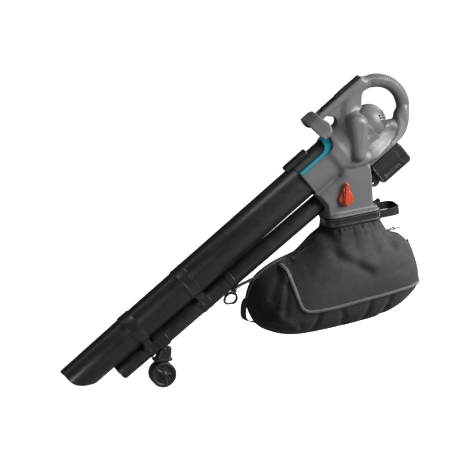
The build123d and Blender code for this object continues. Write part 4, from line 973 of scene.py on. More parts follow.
def head_hollow(x, y, z):
    """Rooms inside the housing, for the tubes, fan, motor, wiring, drum, dock and grip."""
    s, v = in_frame(TUBE, x, z)
    b, h = in_frame(BLOWER, x, z)
    fx, fz = in_frame(FLANGE, x, z)
    r = np.hypot(v, y)
    hb = np.hypot(h, y)
    rooms = [cylinder(r, s, SOCKET_R + 0.3, 880, 1041.5), cylinder(r, s, 54, 1040, 1046),
             cylinder(r, s, 60, 1045, 1094), cylinder(r, s, MOTOR_R - 4, 1098, 1153),
             cylinder(r, s, 10.1, 1088, 1108), bar(s, y, v, (1084, -28, -90), (1158, 28, -58), 2),
             bar(s, y, v, (1150, -20, -90), (1168, 20, -66), 2),
             bar(s, y, v, (1120, -10, -60), (1136, 10, -30), 1),
             bar(s, y, v, (1052, -PANEL_HALF - 0.3, BEAM_BOTTOM + 3), (1224.4, PANEL_HALF + 0.3, 130), 1),
             bar(s, y, v, (1074, -30, -101), (1180, 30, -95), 0.5),
             cylinder(hb, b, UPPER_BLOWER_R + 0.3, 880, 911.5),
             cylinder(hb, b, UPPER_BLOWER_R - WALL, 911, 929),
             np.maximum(dome(s, r, MOTOR_R + 0.5, DOME_END + 0.5), DOME_START - s),
             plate(outline(x, z, DUCT_ROOM), y, np.minimum(DRUM_HALF + 0.3, duct_half(s, v) - 4.5), 1),
             plate(outline(x, z, REAR_POCKET), y, 44, 1),
             bar(fx, y, fz, (-61, -42, -5), (15, 42, 20), 2)]
    away = np.hypot(x - RING_X, z - RING_Z) - RING_R
    grip = corner_distance(np.abs(away) - GRIP_T / 2 + 7, np.abs(y) - GRIP_W / 2 + 7, 8)
    for at in SCREWS:
        post = row_point(TUBE, *at)
        grip = cut(grip, np.hypot(x - post.x, z - post.z) - 5.4)
    rooms.append(cut(grip, dome(s, r, MOTOR_R + 7, DOME_END + 7)))
    return union(*rooms)


def head_half(side):
    """Field of one housing shell: -1 is the left one, 1 the right one, which has the screw seats."""
    def field(x, y, z):
        body = cut(head_outer(x, y, z), head_hollow(x, y, z))
        lever_hole = np.hypot(x - DRUM.x, z - DRUM.z) - 7.2
        body = cut(body, lever_hole + np.where(np.abs(y) < DRUM_HALF - 1, 9, 0))
        eye = np.hypot(x - STRAP_EYE.x, z - STRAP_EYE.z) - STRAP_EYE_R
        body = cut(body, eye + np.where(np.abs(y) > 10, 9, 0))
        if side > 0:
            for at in SCREWS:
                post = row_point(TUBE, *at)
                seat = (WEB_HALF if at == SCREWS[0] else 17.0) - 4
                body = cut(body, corner_distance(np.hypot(x - post.x, z - post.z) - 3.8, seat - y, 0))
        return np.maximum(body, 0.12 - side * y)
    return field


for side, name in ((-1, "left"), (1, "right")):
    low, high = box_mm(f"housing_{name}")
    low, high = low - Vector((4, 4, 4)), high + Vector((7, 4, 6))
    shell = sculpt(f"shell_{name}", head_half(side), low, high, VOXEL, HOUSING)
    settle(shell, "machine", "housing_grey", f"housing_{name}")


# ------------------------------------------------------------------------------ motor cover
VENTS = 7
VENT_PITCH = 7.2


def cover_field(s, y, v):
    """Domed shell with cooling slots across its end."""
    r = np.hypot(y, v)
    body = cut(dome(s, r, MOTOR_R, DOME_END), dome(s, r, MOTOR_R - 3, DOME_END - 3))
    body = np.maximum(body, DOME_START + 0.1 - s)
    for k in range(VENTS):
        slot = common(np.abs(v - 6 + VENT_PITCH * k) - 1.7, 1184 - s, np.abs(y) - 44, blend=1.2)
        body = cut(body, slot, blend=0.8)
    return body


cover = sculpt("motor_dome", cover_field, (DOME_START, -51, -51), (DOME_END + 1, 51, 51), FINE, HOUSING, TUBE)
settle(cover, "machine", "housing_grey", "motor_cover")


# ------------------------------------------------------------------- accent trim and release
TRIM_LINE = [(903.5, CRADLE_TOP + 0.3), (1008, CRADLE_TOP + 0.3), (1023, 34.3), (1032.7, 42.2),
             (1038.6, 54.1), (1041.5, 90), (1019, 90), (1017, 57), (1011, 46), (1000, 39.5), (985, 37.5),
             (903.5, 37.3)]


def trim_field(s, y, v):
    """Strip along each side of the socket that sweeps up into an arch over it."""
    r = np.hypot(y, v)
    band = common(r - CRADLE_R - 1.3, SOCKET_R + 0.1 - r, blend=0.8)
    return common(band, outline(s, v, TRIM_LINE), blend=1.6)


trim = sculpt("teal_trim", trim_field, (903, -62, 29), (1042, 62, 62), FINE, TRIM, TUBE)
settle(trim, "machine", "accent_teal", "accent_trim")


def release_field(s, y, v):
    """Ribbed push button that sits on the socket's crown."""
    slope = v - 67 + np.clip((888 - s) / 12, 0, 1) * 4
    body = bar(s, y, v, (879, -15, 40), (963, 15, 67), 3.2)
    body = common(body, slope, blend=2)
    body = cut(body, np.hypot(v, y) - SOCKET_R - 0.1)
    for k in range(6):
        groove = common(np.abs(s - 948 + 6 * k) - 1.1, np.abs(y) - 11, 66.2 - v, blend=0.6)
        body = cut(body, groove, blend=0.5)
    return cut(body, bar(s, y, v, (886, -9, 66.2), (908, 9, 70), 0.8), blend=0.6)


release = sculpt("release_slide", release_field, (879, -15, 46), (963, 15, 67), FINE, COUPLING, TUBE)
settle(release, "tube_release_button", "coupling_black", "tube_release_button")


# ------------------------------------------------------------------------------- front handle
HOOD = (1013.0, 1053.0)
ARCH_CORNERS = [(0, 136), (22, 134.5), (42, 127), (58, 115.5), (70, 101), (77, 90), (80, 78)]


def arch_distance(y, v):
    """Distance from the arch's outer line, seen along the tube; negative under it."""
    right = [(p.x, p.y) for p in curve_through([(a, b, 0) for a, b in ARCH_CORNERS], 5)]
    ring = [(-a, b) for a, b in reversed(right[1:])] + right + [(80, 20), (-80, 20)]
    return outline(y, v, ring)


def handle_field(s, y, v):
    """Arched hood, open in front, with the tongue and collar that join it to the beam."""
    arch = arch_distance(y, v)
    s0, s1 = HOOD
    profile = [(s0 + 2, 142), (s1 + 0.5, 142), (s1 + 4, 116), (1062, 102), (1059, 89), (1051, 78),
               (1040, 73.5), (1028, 73.5), (1021, 78), (1016, 88), (s0 + 0.5, 103), (s0 - 1, 121)]
    side = outline(s, v, profile)
    skin = common(arch, -arch - 27, side, blend=7)
    hollow = common(arch + 4.5, s - s1 + 7, blend=3)
    body = cut(skin, hollow, blend=2)
    lip = common(np.abs(arch + 2.4) - 2.4, np.abs(s - s0 - 6.5) - 6, side, blend=2)
    body = union(body, lip, blend=2)
    tongue = bar(s, y, v, (s1 - 6, -PANEL_HALF, BEAM_BOTTOM + 3.3), (1071, PANEL_HALF, BEAM_TOP - 1), 1)
    collar = bar(s, y, v, (s1 - 8, -BEAM_HALF, BEAM_BOTTOM), (1053.8, BEAM_HALF, BEAM_TOP), 4)
    return union(body, union(tongue, collar), blend=4)


hood = sculpt("grab_hood", handle_field, (1003, -81, 70), (1072, 81, 137), FINE * 1.2, HOUSING, TUBE)
settle(hood, "machine", "housing_grey", "front_handle")


def pad_field(s, y, v):
    """Ribbed soft pad over the crown of the hood."""
    arch = arch_distance(y, v)
    body = common(arch - 2.2, -arch - 0.05, np.abs(s - 1029) - 17, np.abs(y) - 42, blend=2.2)
    for k in range(-6, 7):
        groove = common(np.abs(y - 6 * k) - 0.7, 1.3 - arch, np.abs(s - 1029) - 13, blend=0.5)
        body = cut(body, groove, blend=0.4)
    return body


pad = sculpt("hood_pad", pad_field, (1011, -43, 110), (1047, 43, 139), FINE, SOFT, TUBE)
settle(pad, "machine", "grip_soft", "front_handle_pad")


# --------------------------------------------------------------------------- soft ring grip
GRIP_ARC = (2.0, 102.0)
DIMPLES = 9


def grip_field(x, y, z):
    """Soft sleeve round the ring, with a row of dimples near its crown on each side."""
    away = np.hypot(x - RING_X, z - RING_Z) - RING_R
    turn = np.degrees(np.arctan2(z - RING_Z, x - RING_X))
    inner = corner_distance(np.abs(away) - GRIP_T / 2, np.abs(y) - GRIP_W / 2, GRIP_ROUND)
    ends = (np.abs(turn - sum(GRIP_ARC) / 2) - (GRIP_ARC[1] - GRIP_ARC[0]) / 2) * math.radians(RING_R)
    skin = 0.5 + 0.8 * np.clip(-ends / 14, 0, 1)
    sleeve = common(inner - skin, -0.9 - inner, blend=0.3)
    body = common(sleeve, ends, blend=1)
    for k in range(DIMPLES):
        a = math.radians(65 + 4.4 * k)
        reach = RING_R + 11.0
        for side in (-1, 1):
            at = (RING_X + reach * math.cos(a), side * 16.6, RING_Z + reach * math.sin(a))
            ball = np.sqrt((x - at[0]) ** 2 + (y - at[1]) ** 2 + (z - at[2]) ** 2)
            body = cut(body, ball - 2.7, blend=0.6)
    return body


low, high = box_mm("grip_cover")
low, high = low - Vector((4, 2, 4)), high + Vector((6, 2, 5))
settle(sculpt("grip_sleeve", grip_field, low, high, FINE * 1.1, SOFT), "machine", "grip_soft", "grip_cover")


# ----------------------------------------------------------------------- beam panel and slider
def panel_field(s, y, v):
    """Raised deck with the slider's rail, its track and the bed of the window."""
    body = bar(s, y, v, (1076, -12, 119), (1224, 12, 127.2), 1.2)
    rail = bar(s, y, v, (1130, -8.5, 122), (1223, 8.5, 130.6), 2.4)
    body = union(body, rail, blend=1)
    body = cut(body, bar(s, y, v, (1143.8, -5.6, 110), (1210.2, 5.6, 135), 1), blend=0.6)
    return cut(body, bar(s, y, v, (1082, -5.05, 124), (1121, 5.05, 130), 0.6))


deck = sculpt("deck", panel_field, (1076, -12, 119), (1224, 12, 131), FINE * 0.8, PANEL, TUBE)
settle(deck, "machine", "panel_black", "control_panel")
window = softened_block("charge_window", (1082.1, -5, 124), (1120.9, 5, 127.5), 0.5, LAMP, TUBE)
settle(window, "machine", "panel_black", "status_window")


def slider_field(s, y, v):
    """Thumb slider with cross ribs."""
    body = bar(s, y, v, (1146, -5.5, 119.5), (1178, 5.5, 132.6), 1.6)
    for k in range(6):
        body = cut(body, common(np.abs(s - 1151 - 4.4 * k) - 0.8, 131.6 - v, blend=0.5), blend=0.4)
    return body


thumb = sculpt("speed_thumb", slider_field, (1146, -5.5, 119.5), (1178, 5.5, 132.6), 0.7, COUPLING, TUBE)
settle(thumb, "power_slider", "coupling_black", "power_slider")


# -------------------------------------------------------------------------------- mode lever
def lever_field(x, y, z):
    """Teardrop knob with a thumb ridge down its middle."""
    disc = np.hypot(x - DRUM.x, z - DRUM.z) - 21.5
    pill = union(disc, tapered_pill(x, z, (DRUM.x, DRUM.z), 13, (DRUM.x, DRUM.z + 41), 7.5), blend=12)
    depth = -DUCT_HALF - 0.3 - y
    crown = 8 + 1.6 * np.clip(-pill / 10, 0, 1)
    base = corner_distance(pill, np.abs(depth - crown / 2) - crown / 2, 3)
    moat = common(np.abs(pill + 5.5) - 1.0, 7.6 - depth, z - DRUM.z - 6, blend=1)
    base = cut(base, moat, blend=1)
    ridge = tapered_pill(x, z, (DRUM.x, DRUM.z - 11), 7.0, (DRUM.x, DRUM.z + 42), 4.4)
    ridge = corner_distance(ridge, np.abs(depth - 10.4) - 8.4, 2.6)
    body = union(base, ridge, blend=3.5)
    r = np.hypot(x - DRUM.x, z - DRUM.z)
    body = cut(body, corner_distance(r - 7.06, 4.9 - 9.7 + depth, 0))
    return cut(body, corner_distance(r - 4.1, np.abs(depth - 15.3) - 1.6, 0), common(r - 2.1, depth - 15))


low, high = box_mm("mode_lever")
knob = sculpt("mode_knob", lever_field, low, high + Vector((0, 0, 1)), FINE * 0.8, ORANGE)
settle(knob, "mode_selector", "lever_orange", "mode_lever")


# ----------------------------------------------------------------------------------- battery
BATTERY_S = (1072.0, 1190.0)
BATTERY_V = (-168.0, -99.0)
BATTERY_HALF = 38.0
BATTERY_SEAM = -137.0
RECESS = [(1096, -158), (1096, -143), (1150, -143), (1158, -150), (1158, -158)]


def battery_field(upper):
    """Field of one battery case; the two meet at the seam."""
    def field(s, y, v):
        flat = corner_distance(np.abs(s - 1131) - 57, np.abs(v + 133) - 34, 13)
        body = corner_distance(flat, np.abs(y) - BATTERY_HALF, 5)
        edge = np.abs(y) - BATTERY_HALF
        recess = plate(outline(s, v, RECESS), y, 60, 0)
        body = cut(body, common(recess, -edge - 1.6, blend=0.8), blend=1.2)
        for k in range(9):
            slot = common(np.abs(s - 1100 - 6.4 * k) - 1.1, recess + 2.5, -edge - 2.6, blend=0.5)
            body = cut(body, slot, blend=0.4)
        grain = common(1163 - s, -edge - 0.9, np.abs(v + 131) - 25, blend=1)
        teeth = np.abs((v / 3.2) % 1 - 0.5) * 3.2 - 0.75
        body = cut(body, common(grain, teeth), blend=0.5)
        for k in range(7):
            end_slot = common(np.abs(v + 126 + 5 * k) - 1.2, np.abs(y) - 27, 1186.8 - s, blend=0.5)
            body = cut(body, end_slot, blend=0.5)
        body = cut(body, common(np.abs(s - 1083) - 1.0, -edge - 1.0, blend=0.5), blend=0.6)
        body = cut(body, bar(s, y, v, (1079, -33.5, -163.5), (1179, 33.5, -118), 1))
        for side in (-1, 1):
            groove = union(bar(s, side * y, v, (1060, 20.4, -108.7), (1151, 29.2, -104.5), 0.2),
                           bar(s, side * y, v, (1060, 20.4, -105), (1151, 24.6, -90), 0.2))
            body = cut(body, groove)
        body = cut(body, bar(s, y, v, (1060, -15, -107), (1120, 15, -90), 0.5))
        body = cut(body, bar(s, y, v, (1172, -14.1, -114.1), (1200, 14.1, -101.9), 0.3))
        return np.maximum(body, BATTERY_SEAM + 0.2 - v if upper else v - BATTERY_SEAM + 0.2)
    return field


for upper, name, node in ((True, "pack_upper", "battery_case_upper"),
                          (False, "pack_lower", "battery_case_lower")):
    low = (BATTERY_S[0], -BATTERY_HALF, BATTERY_SEAM if upper else BATTERY_V[0])
    high = (BATTERY_S[1], BATTERY_HALF, BATTERY_V[1] if upper else BATTERY_SEAM)
    case = sculpt(name, battery_field(upper), low, high, FINE * 1.1, BATTERY, TUBE, 40)
    settle(case, "battery", "battery_black", node)


def latch_field(s, y, v):
    """Push button at the battery's rear, with three grooves."""
    body = bar(s, y, v, (1176, -14, -114), (1187.5, 14, -102), 1.5)
    for k in range(3):
        groove = common(np.abs(v + 110 - 3 * k) - 0.6, np.abs(y) - 9, 1186.9 - s, blend=0.3)
        body = cut(body, groove, blend=0.3)
    return body


button = sculpt("pack_button", latch_field, (1176, -14, -114), (1187.5, 14, -102), 0.7, COUPLING, TUBE)
settle(button, "battery_latch", "battery_black", "battery_latch")


# -------------------------------------------------------------------- collar, latch and loop
def flange_loop(margin, z, steps=10):
    """Points round the outlet flange's plan, grown by margin, at one height in its frame."""
    x0, x1 = FLANGE_REACH[0] - margin, FLANGE_REACH[1] + margin
    half = FLANGE_WIDTH / 2 + margin
    made = []
    for cx, cy, corner, first in ((x1, half, 14, 0), (x0, half, 38, 90), (x0, -half, 38, 180),
                                  (x1, -half, 14, 270)):
        r = corner + margin
        mx = cx - r if cx == x1 else cx + r
        my = cy - r if cy > 0 else cy + r
        for k in range(steps + 1):
            a = math.radians(first + 90 * k / steps)
            made.append((mx + r * math.cos(a), my + r * math.sin(a), z))
    return made


def flange_band(name, profile, rim, material):
    """Ring round the flange's plan from a closed profile of (margin, height)."""
    rings = [flange_loop(margin, height) for margin, height in rounded_profile(profile, rim)]
    points = [p for ring in rings for p in ring]
    faces = ring_faces(len(rings), len(rings[0]))
    return flip_outwards(add_mesh(name, points, faces, material, FLANGE, 40))


REAR = FLANGE_REACH[1]
COLLAR = [(-7.5, -2.2), (1.6, -2.2), (3, -3.4), (3, -6.5), (1.5, -8), (1.5, -21), (3, -22.5), (3, -27),
          (2, -28), (-7.5, -28)]
collar = flange_band("collar_rim", COLLAR, 0.7, COUPLING)
ears = [softened_block(f"collar_ear_{k}", (REAR + 1, y, -14), (REAR + 12, y + 4, -3), 0.9, COUPLING, FLANGE)
        for k, y in enumerate((14, -18))]
settle(join("collar", [collar] + ears), "machine", "coupling_black", "bag_collar")
seal = flange_band("seal", [(-8.8, -1.9), (-8.8, -0.1), (-4.2, -0.1), (-4.2, -1.9)], 0.5, SEAL)
settle(seal, "machine", "seal_rubber", "outlet_seal")
HOOK_LINE = [(REAR + 6, -10.5), (REAR + 11, -10.5), (REAR + 11.5, 6), (REAR + 20, 15), (REAR + 18, 18.5),
             (REAR + 8, 12.5), (REAR - 3, 12), (REAR - 3, 8.5), (REAR + 5.6, 8.5)]


def collar_hook_field(x, y, z):
    """Sprung hook behind the collar, bored for its pin, with three thumb grooves."""
    hook = plate(outline(x, z, HOOK_LINE), y, 12.5, 1.2)
    for k in range(3):
        groove = np.hypot(x - REAR - 15.1 - 2.0 * k, z - 7.3 - 2.6 * k) - 1.0
        hook = cut(hook, common(groove, np.abs(y) - 10), blend=0.4)
    return cut(hook, np.hypot(x - REAR - 8, z + 8) - 1.88)


hook = sculpt("collar_hook", collar_hook_field, (REAR - 3, -12.5, -11), (REAR + 20, 12.5, 19), 0.7, COUPLING,
              FLANGE)
settle(hook, "collar_latch", "coupling_black", "collar_latch")

LOOP_REACH = 66.0
LOOP_HALF = 42.5
LOOP_CORNER = 22.0
LOOP_Z = -17.0
loop_path = [(REAR + 3, -LOOP_HALF, LOOP_Z), (REAR + 20, -LOOP_HALF, LOOP_Z)]
for first in (-90, 0):
    cy = -LOOP_HALF + LOOP_CORNER if first else LOOP_HALF - LOOP_CORNER
    for k in range(9):
        a = math.radians(first + 90 * k / 8)
        loop_path.append((REAR + 1.5 + LOOP_REACH - LOOP_CORNER + LOOP_CORNER * math.cos(a),
                          cy + LOOP_CORNER * math.sin(a), LOOP_Z))
loop_path += [(REAR + 20, LOOP_HALF, LOOP_Z), (REAR + 3, LOOP_HALF, LOOP_Z)]
half_band = [(-12, -0.9), (-11.2, -1.6), (-9.4, -1.6), (-8.6, -0.9), (8.6, -0.9), (9.4, -1.6), (11.2, -1.6),
             (12, -0.9)]
band = half_band + [(-across, -thick) for across, thick in half_band]
loop = sweep("carry_loop", loop_path, (0, 0, 1), band, COUPLING, FLANGE)
settle(loop, "machine", "coupling_black", "bag_carry_loop")


# --------------------------------------------------------------------------------------- bag
BAG_LINE = [(489, 462), (486, 444), (464, 424), (429, 396), (385, 369), (341, 347), (291, 306), (268, 258),
            (266, 220), (286, 174), (326, 146), (392, 131), (480, 138), (597, 157), (656, 171), (714, 197),
            (754, 230), (777, 262), (777, 292), (772, 334), (757, 379), (729, 410), (692, 424), (670, 444),
            (657, 466), (654, 486), (645, 560), (478, 560)]
BAG_TOP = -28.3
HELD = 8.0
# below the neck the form starts this much smaller, because the cloth swells
PRE_SHRINK = 3.5
BAG_ROUND = 104.0
FOLD_DEPTH = 1.35
BAG_STEP = 5.0
# half widths of the filled bag at depths below the flange
BAG_DEPTHS = [28, 60, 95, 140, 195, 260, 330]
BAG_HALVES = [58, 62, 76, 96, 104, 102, 96]
# creases and ridges on the left side, then on the right: from, to, width, height (negative is a crease)
LEFT_FOLDS = [
    ((486, 446), (508, 384), 20, -8), ((506, 396), (620, 342), 18, 5), ((515, 372), (600, 326), 15, -4),
    ((350, 350), (306, 262), 9, -4), ((362, 345), (330, 240), 8, 3.5), ((352, 300), (345, 205), 10, -4),
    ((330, 210), (385, 165), 12, 4), ((395, 170), (330, 168), 9, -3), ((655, 440), (690, 392), 14, -5),
    ((690, 392), (748, 352), 18, -3), ((452, 205), (440, 150), 9, -4), ((520, 215), (540, 160), 10, -3),
    ((610, 235), (600, 172), 9, -4), ((672, 245), (660, 180), 9, -3.5), ((560, 430), (575, 350), 14, -2.5),
    ((620, 430), (632, 365), 12, -2.5)]
RIGHT_FOLDS = [
    ((500, 440), (460, 360), 18, -6), ((560, 430), (540, 300), 16, -5), ((640, 440), (690, 330), 16, -6),
    ((420, 360), (350, 250), 18, -6), ((480, 300), (620, 250), 22, 5), ((360, 200), (520, 190), 16, -4),
    ((640, 300), (740, 240), 18, -4)]


def bag_outline():
    """Side view of the filled bag: smooth, and closed above the collar."""
    return [(p.x, p.y) for p in curve_through([(a, b, 0) for a, b in BAG_LINE[:-2]], 6)] + BAG_LINE[-2:]


def bag_folds(x, y, z):
    """Height of the folds at a point of the bag."""
    height = 0.0
    for side, folds in ((-1, LEFT_FOLDS), (1, RIGHT_FOLDS)):
        for (x0, z0), (x1, z1), width, rise in folds:
            ex, ez = x1 - x0, z1 - z0
            t = np.clip(((x - x0) * ex + (z - z0) * ez) / (ex * ex + ez * ez), 0, 1)
            off = np.hypot(x - x0 - t * ex, z - z0 - t * ez) / width
            height = height + rise * np.exp(-off * off) * np.clip(side * y / 40, 0, 1)
    return height


# pleats under the collar: height, number round the bag, phase
PLEATS = ((1.5, 17, 0.6), (1.1, 29, 2.0), (0.7, 43, 0.0))


def bag_gathers(x, y, depth, middle):
    """Small pleats that fan out from under the collar."""
    turn = np.arctan2(y, x - middle)
    near = np.exp(-np.maximum(depth - 28, 0) / 30) * np.clip((depth - 28) / 8, 0, 1)
    return near * sum(rise * np.sin(number * turn + phase) for rise, number, phase in PLEATS)


def bag_field(x, y, z):
    """Filled bag: oval in plan at each depth, squarer near the collar."""
    _, fz = in_frame(FLANGE, x, z)
    depth = -fz
    inside = outline(x, z, bag_outline()) + PRE_SHRINK * ease((depth - 50) / 60)
    half = np.interp(depth, BAG_DEPTHS, BAG_HALVES)
    power = 2.25 + 2.5 * np.clip(1 - (depth - 28) / 60, 0, 1)
    a = np.maximum((BAG_ROUND + inside) / BAG_ROUND, 0)
    b = np.abs(y) / half
    form = ((a ** power + b ** power) ** (1 / power) - 1) * np.minimum(BAG_ROUND, half)
    return np.maximum(form, fz - BAG_TOP)


CLOTH_STEPS = 20
PUFF_CAP = 8.0


def inflate(piece, held, cap):
    """Presses the fabric out with cloth simulation; vertices in held stay, and none moves over cap."""
    before = np.array([v.co for v in piece.data.vertices])
    group = piece.vertex_groups.new(name="held")
    group.add(held, 1.0, "REPLACE")
    cloth = piece.modifiers.new("Cloth", "CLOTH")
    settings = cloth.settings
    settings.quality = 6
    settings.mass = 0.25
    settings.tension_stiffness = 18
    settings.compression_stiffness = 12
    settings.shear_stiffness = 6
    settings.bending_stiffness = 0.6
    settings.use_pressure = True
    settings.uniform_pressure_force = 4.0
    settings.shrink_min = -0.035
    settings.vertex_group_mass = "held"
    settings.effector_weights.gravity = 0.0
    cloth.collision_settings.use_collision = False
    scene = bpy.context.scene
    for step in range(1, CLOTH_STEPS + 1):
        scene.frame_set(step)
    shown = piece.evaluated_get(bpy.context.evaluated_depsgraph_get()).to_mesh()
    after = np.array([v.co for v in shown.vertices])
    piece.modifiers.clear()
    piece.vertex_groups.clear()
    scene.frame_set(1)
    move = after - before
    length = np.linalg.norm(move, axis=1, keepdims=True)
    move *= np.minimum(length, cap * MM) / np.maximum(length, 1e-9)
    piece.data.vertices.foreach_set("co", (before + move).ravel())
    piece.data.update()


def crease(piece, share):
    """Presses the folds and pleats into the fabric along its normals."""
    flat_normals = np.array([v.normal for v in piece.data.vertices])
    co = np.array([v.co for v in piece.data.vertices])
    x, y, z = co.T / MM
    fx, fz = in_frame(FLANGE, x, z)
    rise = (bag_folds(x, y, z) + bag_gathers(fx, y, -fz, -12)) * share
    rise *= np.clip((BAG_TOP - fz) / 6, 0, 1)
    piece.data.vertices.foreach_set("co", (co + flat_normals * rise[:, None] * MM).ravel())
    piece.data.update()


def apply_modifiers(piece):
    """Leaves the piece with the mesh its modifiers make."""
    graph = bpy.context.evaluated_depsgraph_get()
    made = bpy.data.meshes.new_from_object(piece.evaluated_get(graph))
    old = piece.data
    piece.modifiers.clear()
    piece.data = made
    bpy.data.meshes.remove(old)
    made.name = piece.name
    made.shade_smooth()


BAG_WALL = 1.6
low, high = box_mm("bag_body")
margin = Vector((4, 4, 4))
bag = sculpt("bag_shell", bag_field, low - margin, high + margin, BAG_STEP, FABRIC, passes=3)
flange_back = FLANGE.inverted()
tops = [v.index for v in bag.data.vertices if (flange_back @ (v.co / MM)).z > BAG_TOP - HELD]
inflate(bag, tops, PUFF_CAP)
work = bmesh.new()
work.from_mesh(bag.data)
lid = [f for f in work.faces if (flange_back @ (f.calc_center_median() / MM)).z > BAG_TOP - 1.2]
bmesh.ops.delete(work, geom=lid, context="FACES")
bmesh.ops.delete(work, geom=[v for v in work.verts if not v.link_faces], context="VERTS")
work.to_mesh(bag.data)
work.free()
bag.modifiers.new("Round", "SUBSURF").levels = 1
apply_modifiers(bag)
crease(bag, FOLD_DEPTH)
bag_skin = BVHTree.FromObject(bag, bpy.context.evaluated_depsgraph_get())
wall = bag.modifiers.new("Wall", "SOLIDIFY")
wall.thickness = BAG_WALL * MM
wall.offset = -1
apply_modifiers(bag)
settle(bag, "machine", "bag_fabric", "bag_body")


# points on the bag's left skin, addressed by (along, height); past TURN_X they wrap round its rear end
TURN_X = 690.0
TURN_R = 92.0
RAY_START = 260


def on_bag(along, height, lift):
    """Row point in millimetres lift above the left skin of the bag, and the skin's normal there."""
    turn = max(along - TURN_X, 0) / TURN_R
    axis_x = min(along, TURN_X)
    outward = Vector((math.sin(turn), -math.cos(turn), 0))
    start = Vector((axis_x, 0, height)) + outward * RAY_START
    hit, normal, _, _ = bag_skin.ray_cast(start * MM, -outward)
    if hit is None:
        hit, normal, _, _ = bag_skin.find_nearest((Vector((axis_x, 0, height)) + outward * 60) * MM)
    if normal.dot(outward) < 0:
        normal = -normal
    return hit / MM + normal * lift, normal


# piped front and lower edge of the flap on the bag's left side, then the rest of its outline
PANEL_LINE = [(352, 352), (363, 334), (373, 296), (387, 250), (401, 228), (426, 220), (490, 226), (568, 241),
              (646, 255), (716, 268), (764, 272), (826, 268)]
PANEL_TOP = [(826, 340), (800, 392), (735, 396), (692, 412), (664, 444), (655, 454), (575, 444), (492, 435),
             (470, 420), (440, 396), (395, 366)]
PANEL_LIFT = 3.4
PANEL_WALL = 1.3
PANEL_BLEND = 60.0


def evenly(points, gap):
    """Points about gap apart along a polyline."""
    points = [Vector(p) for p in points]
    made = [points[0]]
    for a, b in zip(points, points[1:]):
        steps = max(1, round((b - a).length / gap))
        made += [a + (b - a) * k / steps for k in range(1, steps + 1)]
    return made


def smoothed(points, rounds=2):
    """Evens out small kinks in a row of points, ends held."""
    for _ in range(rounds):
        middle = [(a + b * 2 + c) / 4 for a, b, c in zip(points, points[1:], points[2:])]
        points = [points[0]] + middle + [points[-1]]
    return points


GRID = 4.5
panel_edge = evenly([p.to_2d() for p in curve_through([(a, b, 0) for a, b in PANEL_LINE], 6)], GRID)
panel_back = evenly([(826, 268)] + PANEL_TOP + [(352, 352)], GRID)[1:-1]
rim_points = panel_edge + panel_back
inner = []
xs = np.arange(345, 830, GRID)
zs = np.arange(215, 460, GRID)
gx, gz = np.meshgrid(xs, zs, indexing="ij")
gap = outline(gx, gz, [tuple(p) for p in rim_points])
for i, j in np.argwhere(gap < -0.6 * GRID):
    inner.append(Vector((gx[i, j], gz[i, j])))
count = len(rim_points)
rim_edges = [(i, (i + 1) % count) for i in range(count)]
flat, _, cells, *_ = geometry.delaunay_2d_cdt(rim_points + inner, rim_edges, [], 1, 1e-4)
edge_x = np.array([p.x for p in panel_edge])
edge_z = np.array([p.y for p in panel_edge])
points = []
for p in flat:
    free = float(np.min(np.hypot(edge_x - p.x, edge_z - p.y)))
    lift = 0.5 + PANEL_LIFT * max(0.0, 1 - free / PANEL_BLEND) ** 0.8
    points.append(on_bag(p.x, p.y, lift)[0])
panel = add_mesh("bag_flap", points, [c for c in cells if len(c) > 2], FABRIC, smooth=180)
work = bmesh.new()
work.from_mesh(panel.data)
bmesh.ops.recalc_face_normals(work, faces=work.faces)
work.faces.ensure_lookup_table()
if sum(f.normal.y for f in work.faces) > 0:
    bmesh.ops.reverse_faces(work, faces=work.faces)
bmesh.ops.smooth_vert(work, verts=[v for v in work.verts if not v.is_boundary], factor=0.5, use_axis_x=True,
                      use_axis_y=True, use_axis_z=True)
work.to_mesh(panel.data)
work.free()
wall = panel.modifiers.new("Wall", "SOLIDIFY")
wall.thickness = PANEL_WALL * MM
wall.offset = -1
apply_modifiers(panel)
settle(panel, "machine", "bag_fabric", "bag_panel")


def along_skin(name, line, lift, profile, material, spread=3):
    """Cord or tape laid on the bag's skin along a row of (along, height) points."""
    placed = [on_bag(p[0], p[1], lift) for p in line]
    path = smoothed([p for p, _ in placed], spread)
    normals = smoothed([n for _, n in placed], spread)
    return sweep(name, path, across_path(path, normals), profile, material, smooth=50)


PIPING_SECTION = [(-5.2, -1.2), (-5.2, 0.3), (-3.4, 1.7), (0, 2.4), (2.6, 1.9), (4, 0.6), (4.2, -1.2)]
piping_line = evenly([p.to_2d() for p in curve_through([(a, b, 0) for a, b in PANEL_LINE], 8)], 3.0)
flap_piping = along_skin("flap_piping", piping_line, PANEL_LIFT + 0.2, PIPING_SECTION, PIPING)
settle(flap_piping, "machine", "bag_fabric")


def stitches(name, line, lift, length=2.6, gap=1.8, offset=5.0):
    """Row of short thread dashes laid on the skin beside a line."""
    line = evenly(line, 0.8)
    shifted = []
    for i, p in enumerate(line):
        ahead = (line[min(i + 1, len(line) - 1)] - line[max(i - 1, 0)]).normalized()
        shifted.append(p + Vector((-ahead.y, ahead.x)) * offset)
    made, run, distance = [], [], 0.0
    for a, b in zip(shifted, shifted[1:]):
        distance += (b - a).length
        if distance % (length + gap) < length:
            run.append(b)
        else:
            if len(run) > 2:
                made.append(run)
            run = []
    return join(name, [along_skin(f"{name}_{k}", run, lift, round_wire(0.42, 5), THREAD, spread=0)
                       for k, run in enumerate(made)])


settle(stitches("flap_stitches", piping_line[6:-10], PANEL_LIFT + 0.1), "machine", "bag_fabric")


# seam round the bag where its two sides meet, the zip, the webbing handle and the strap
BAG_HEART = (520, 280)


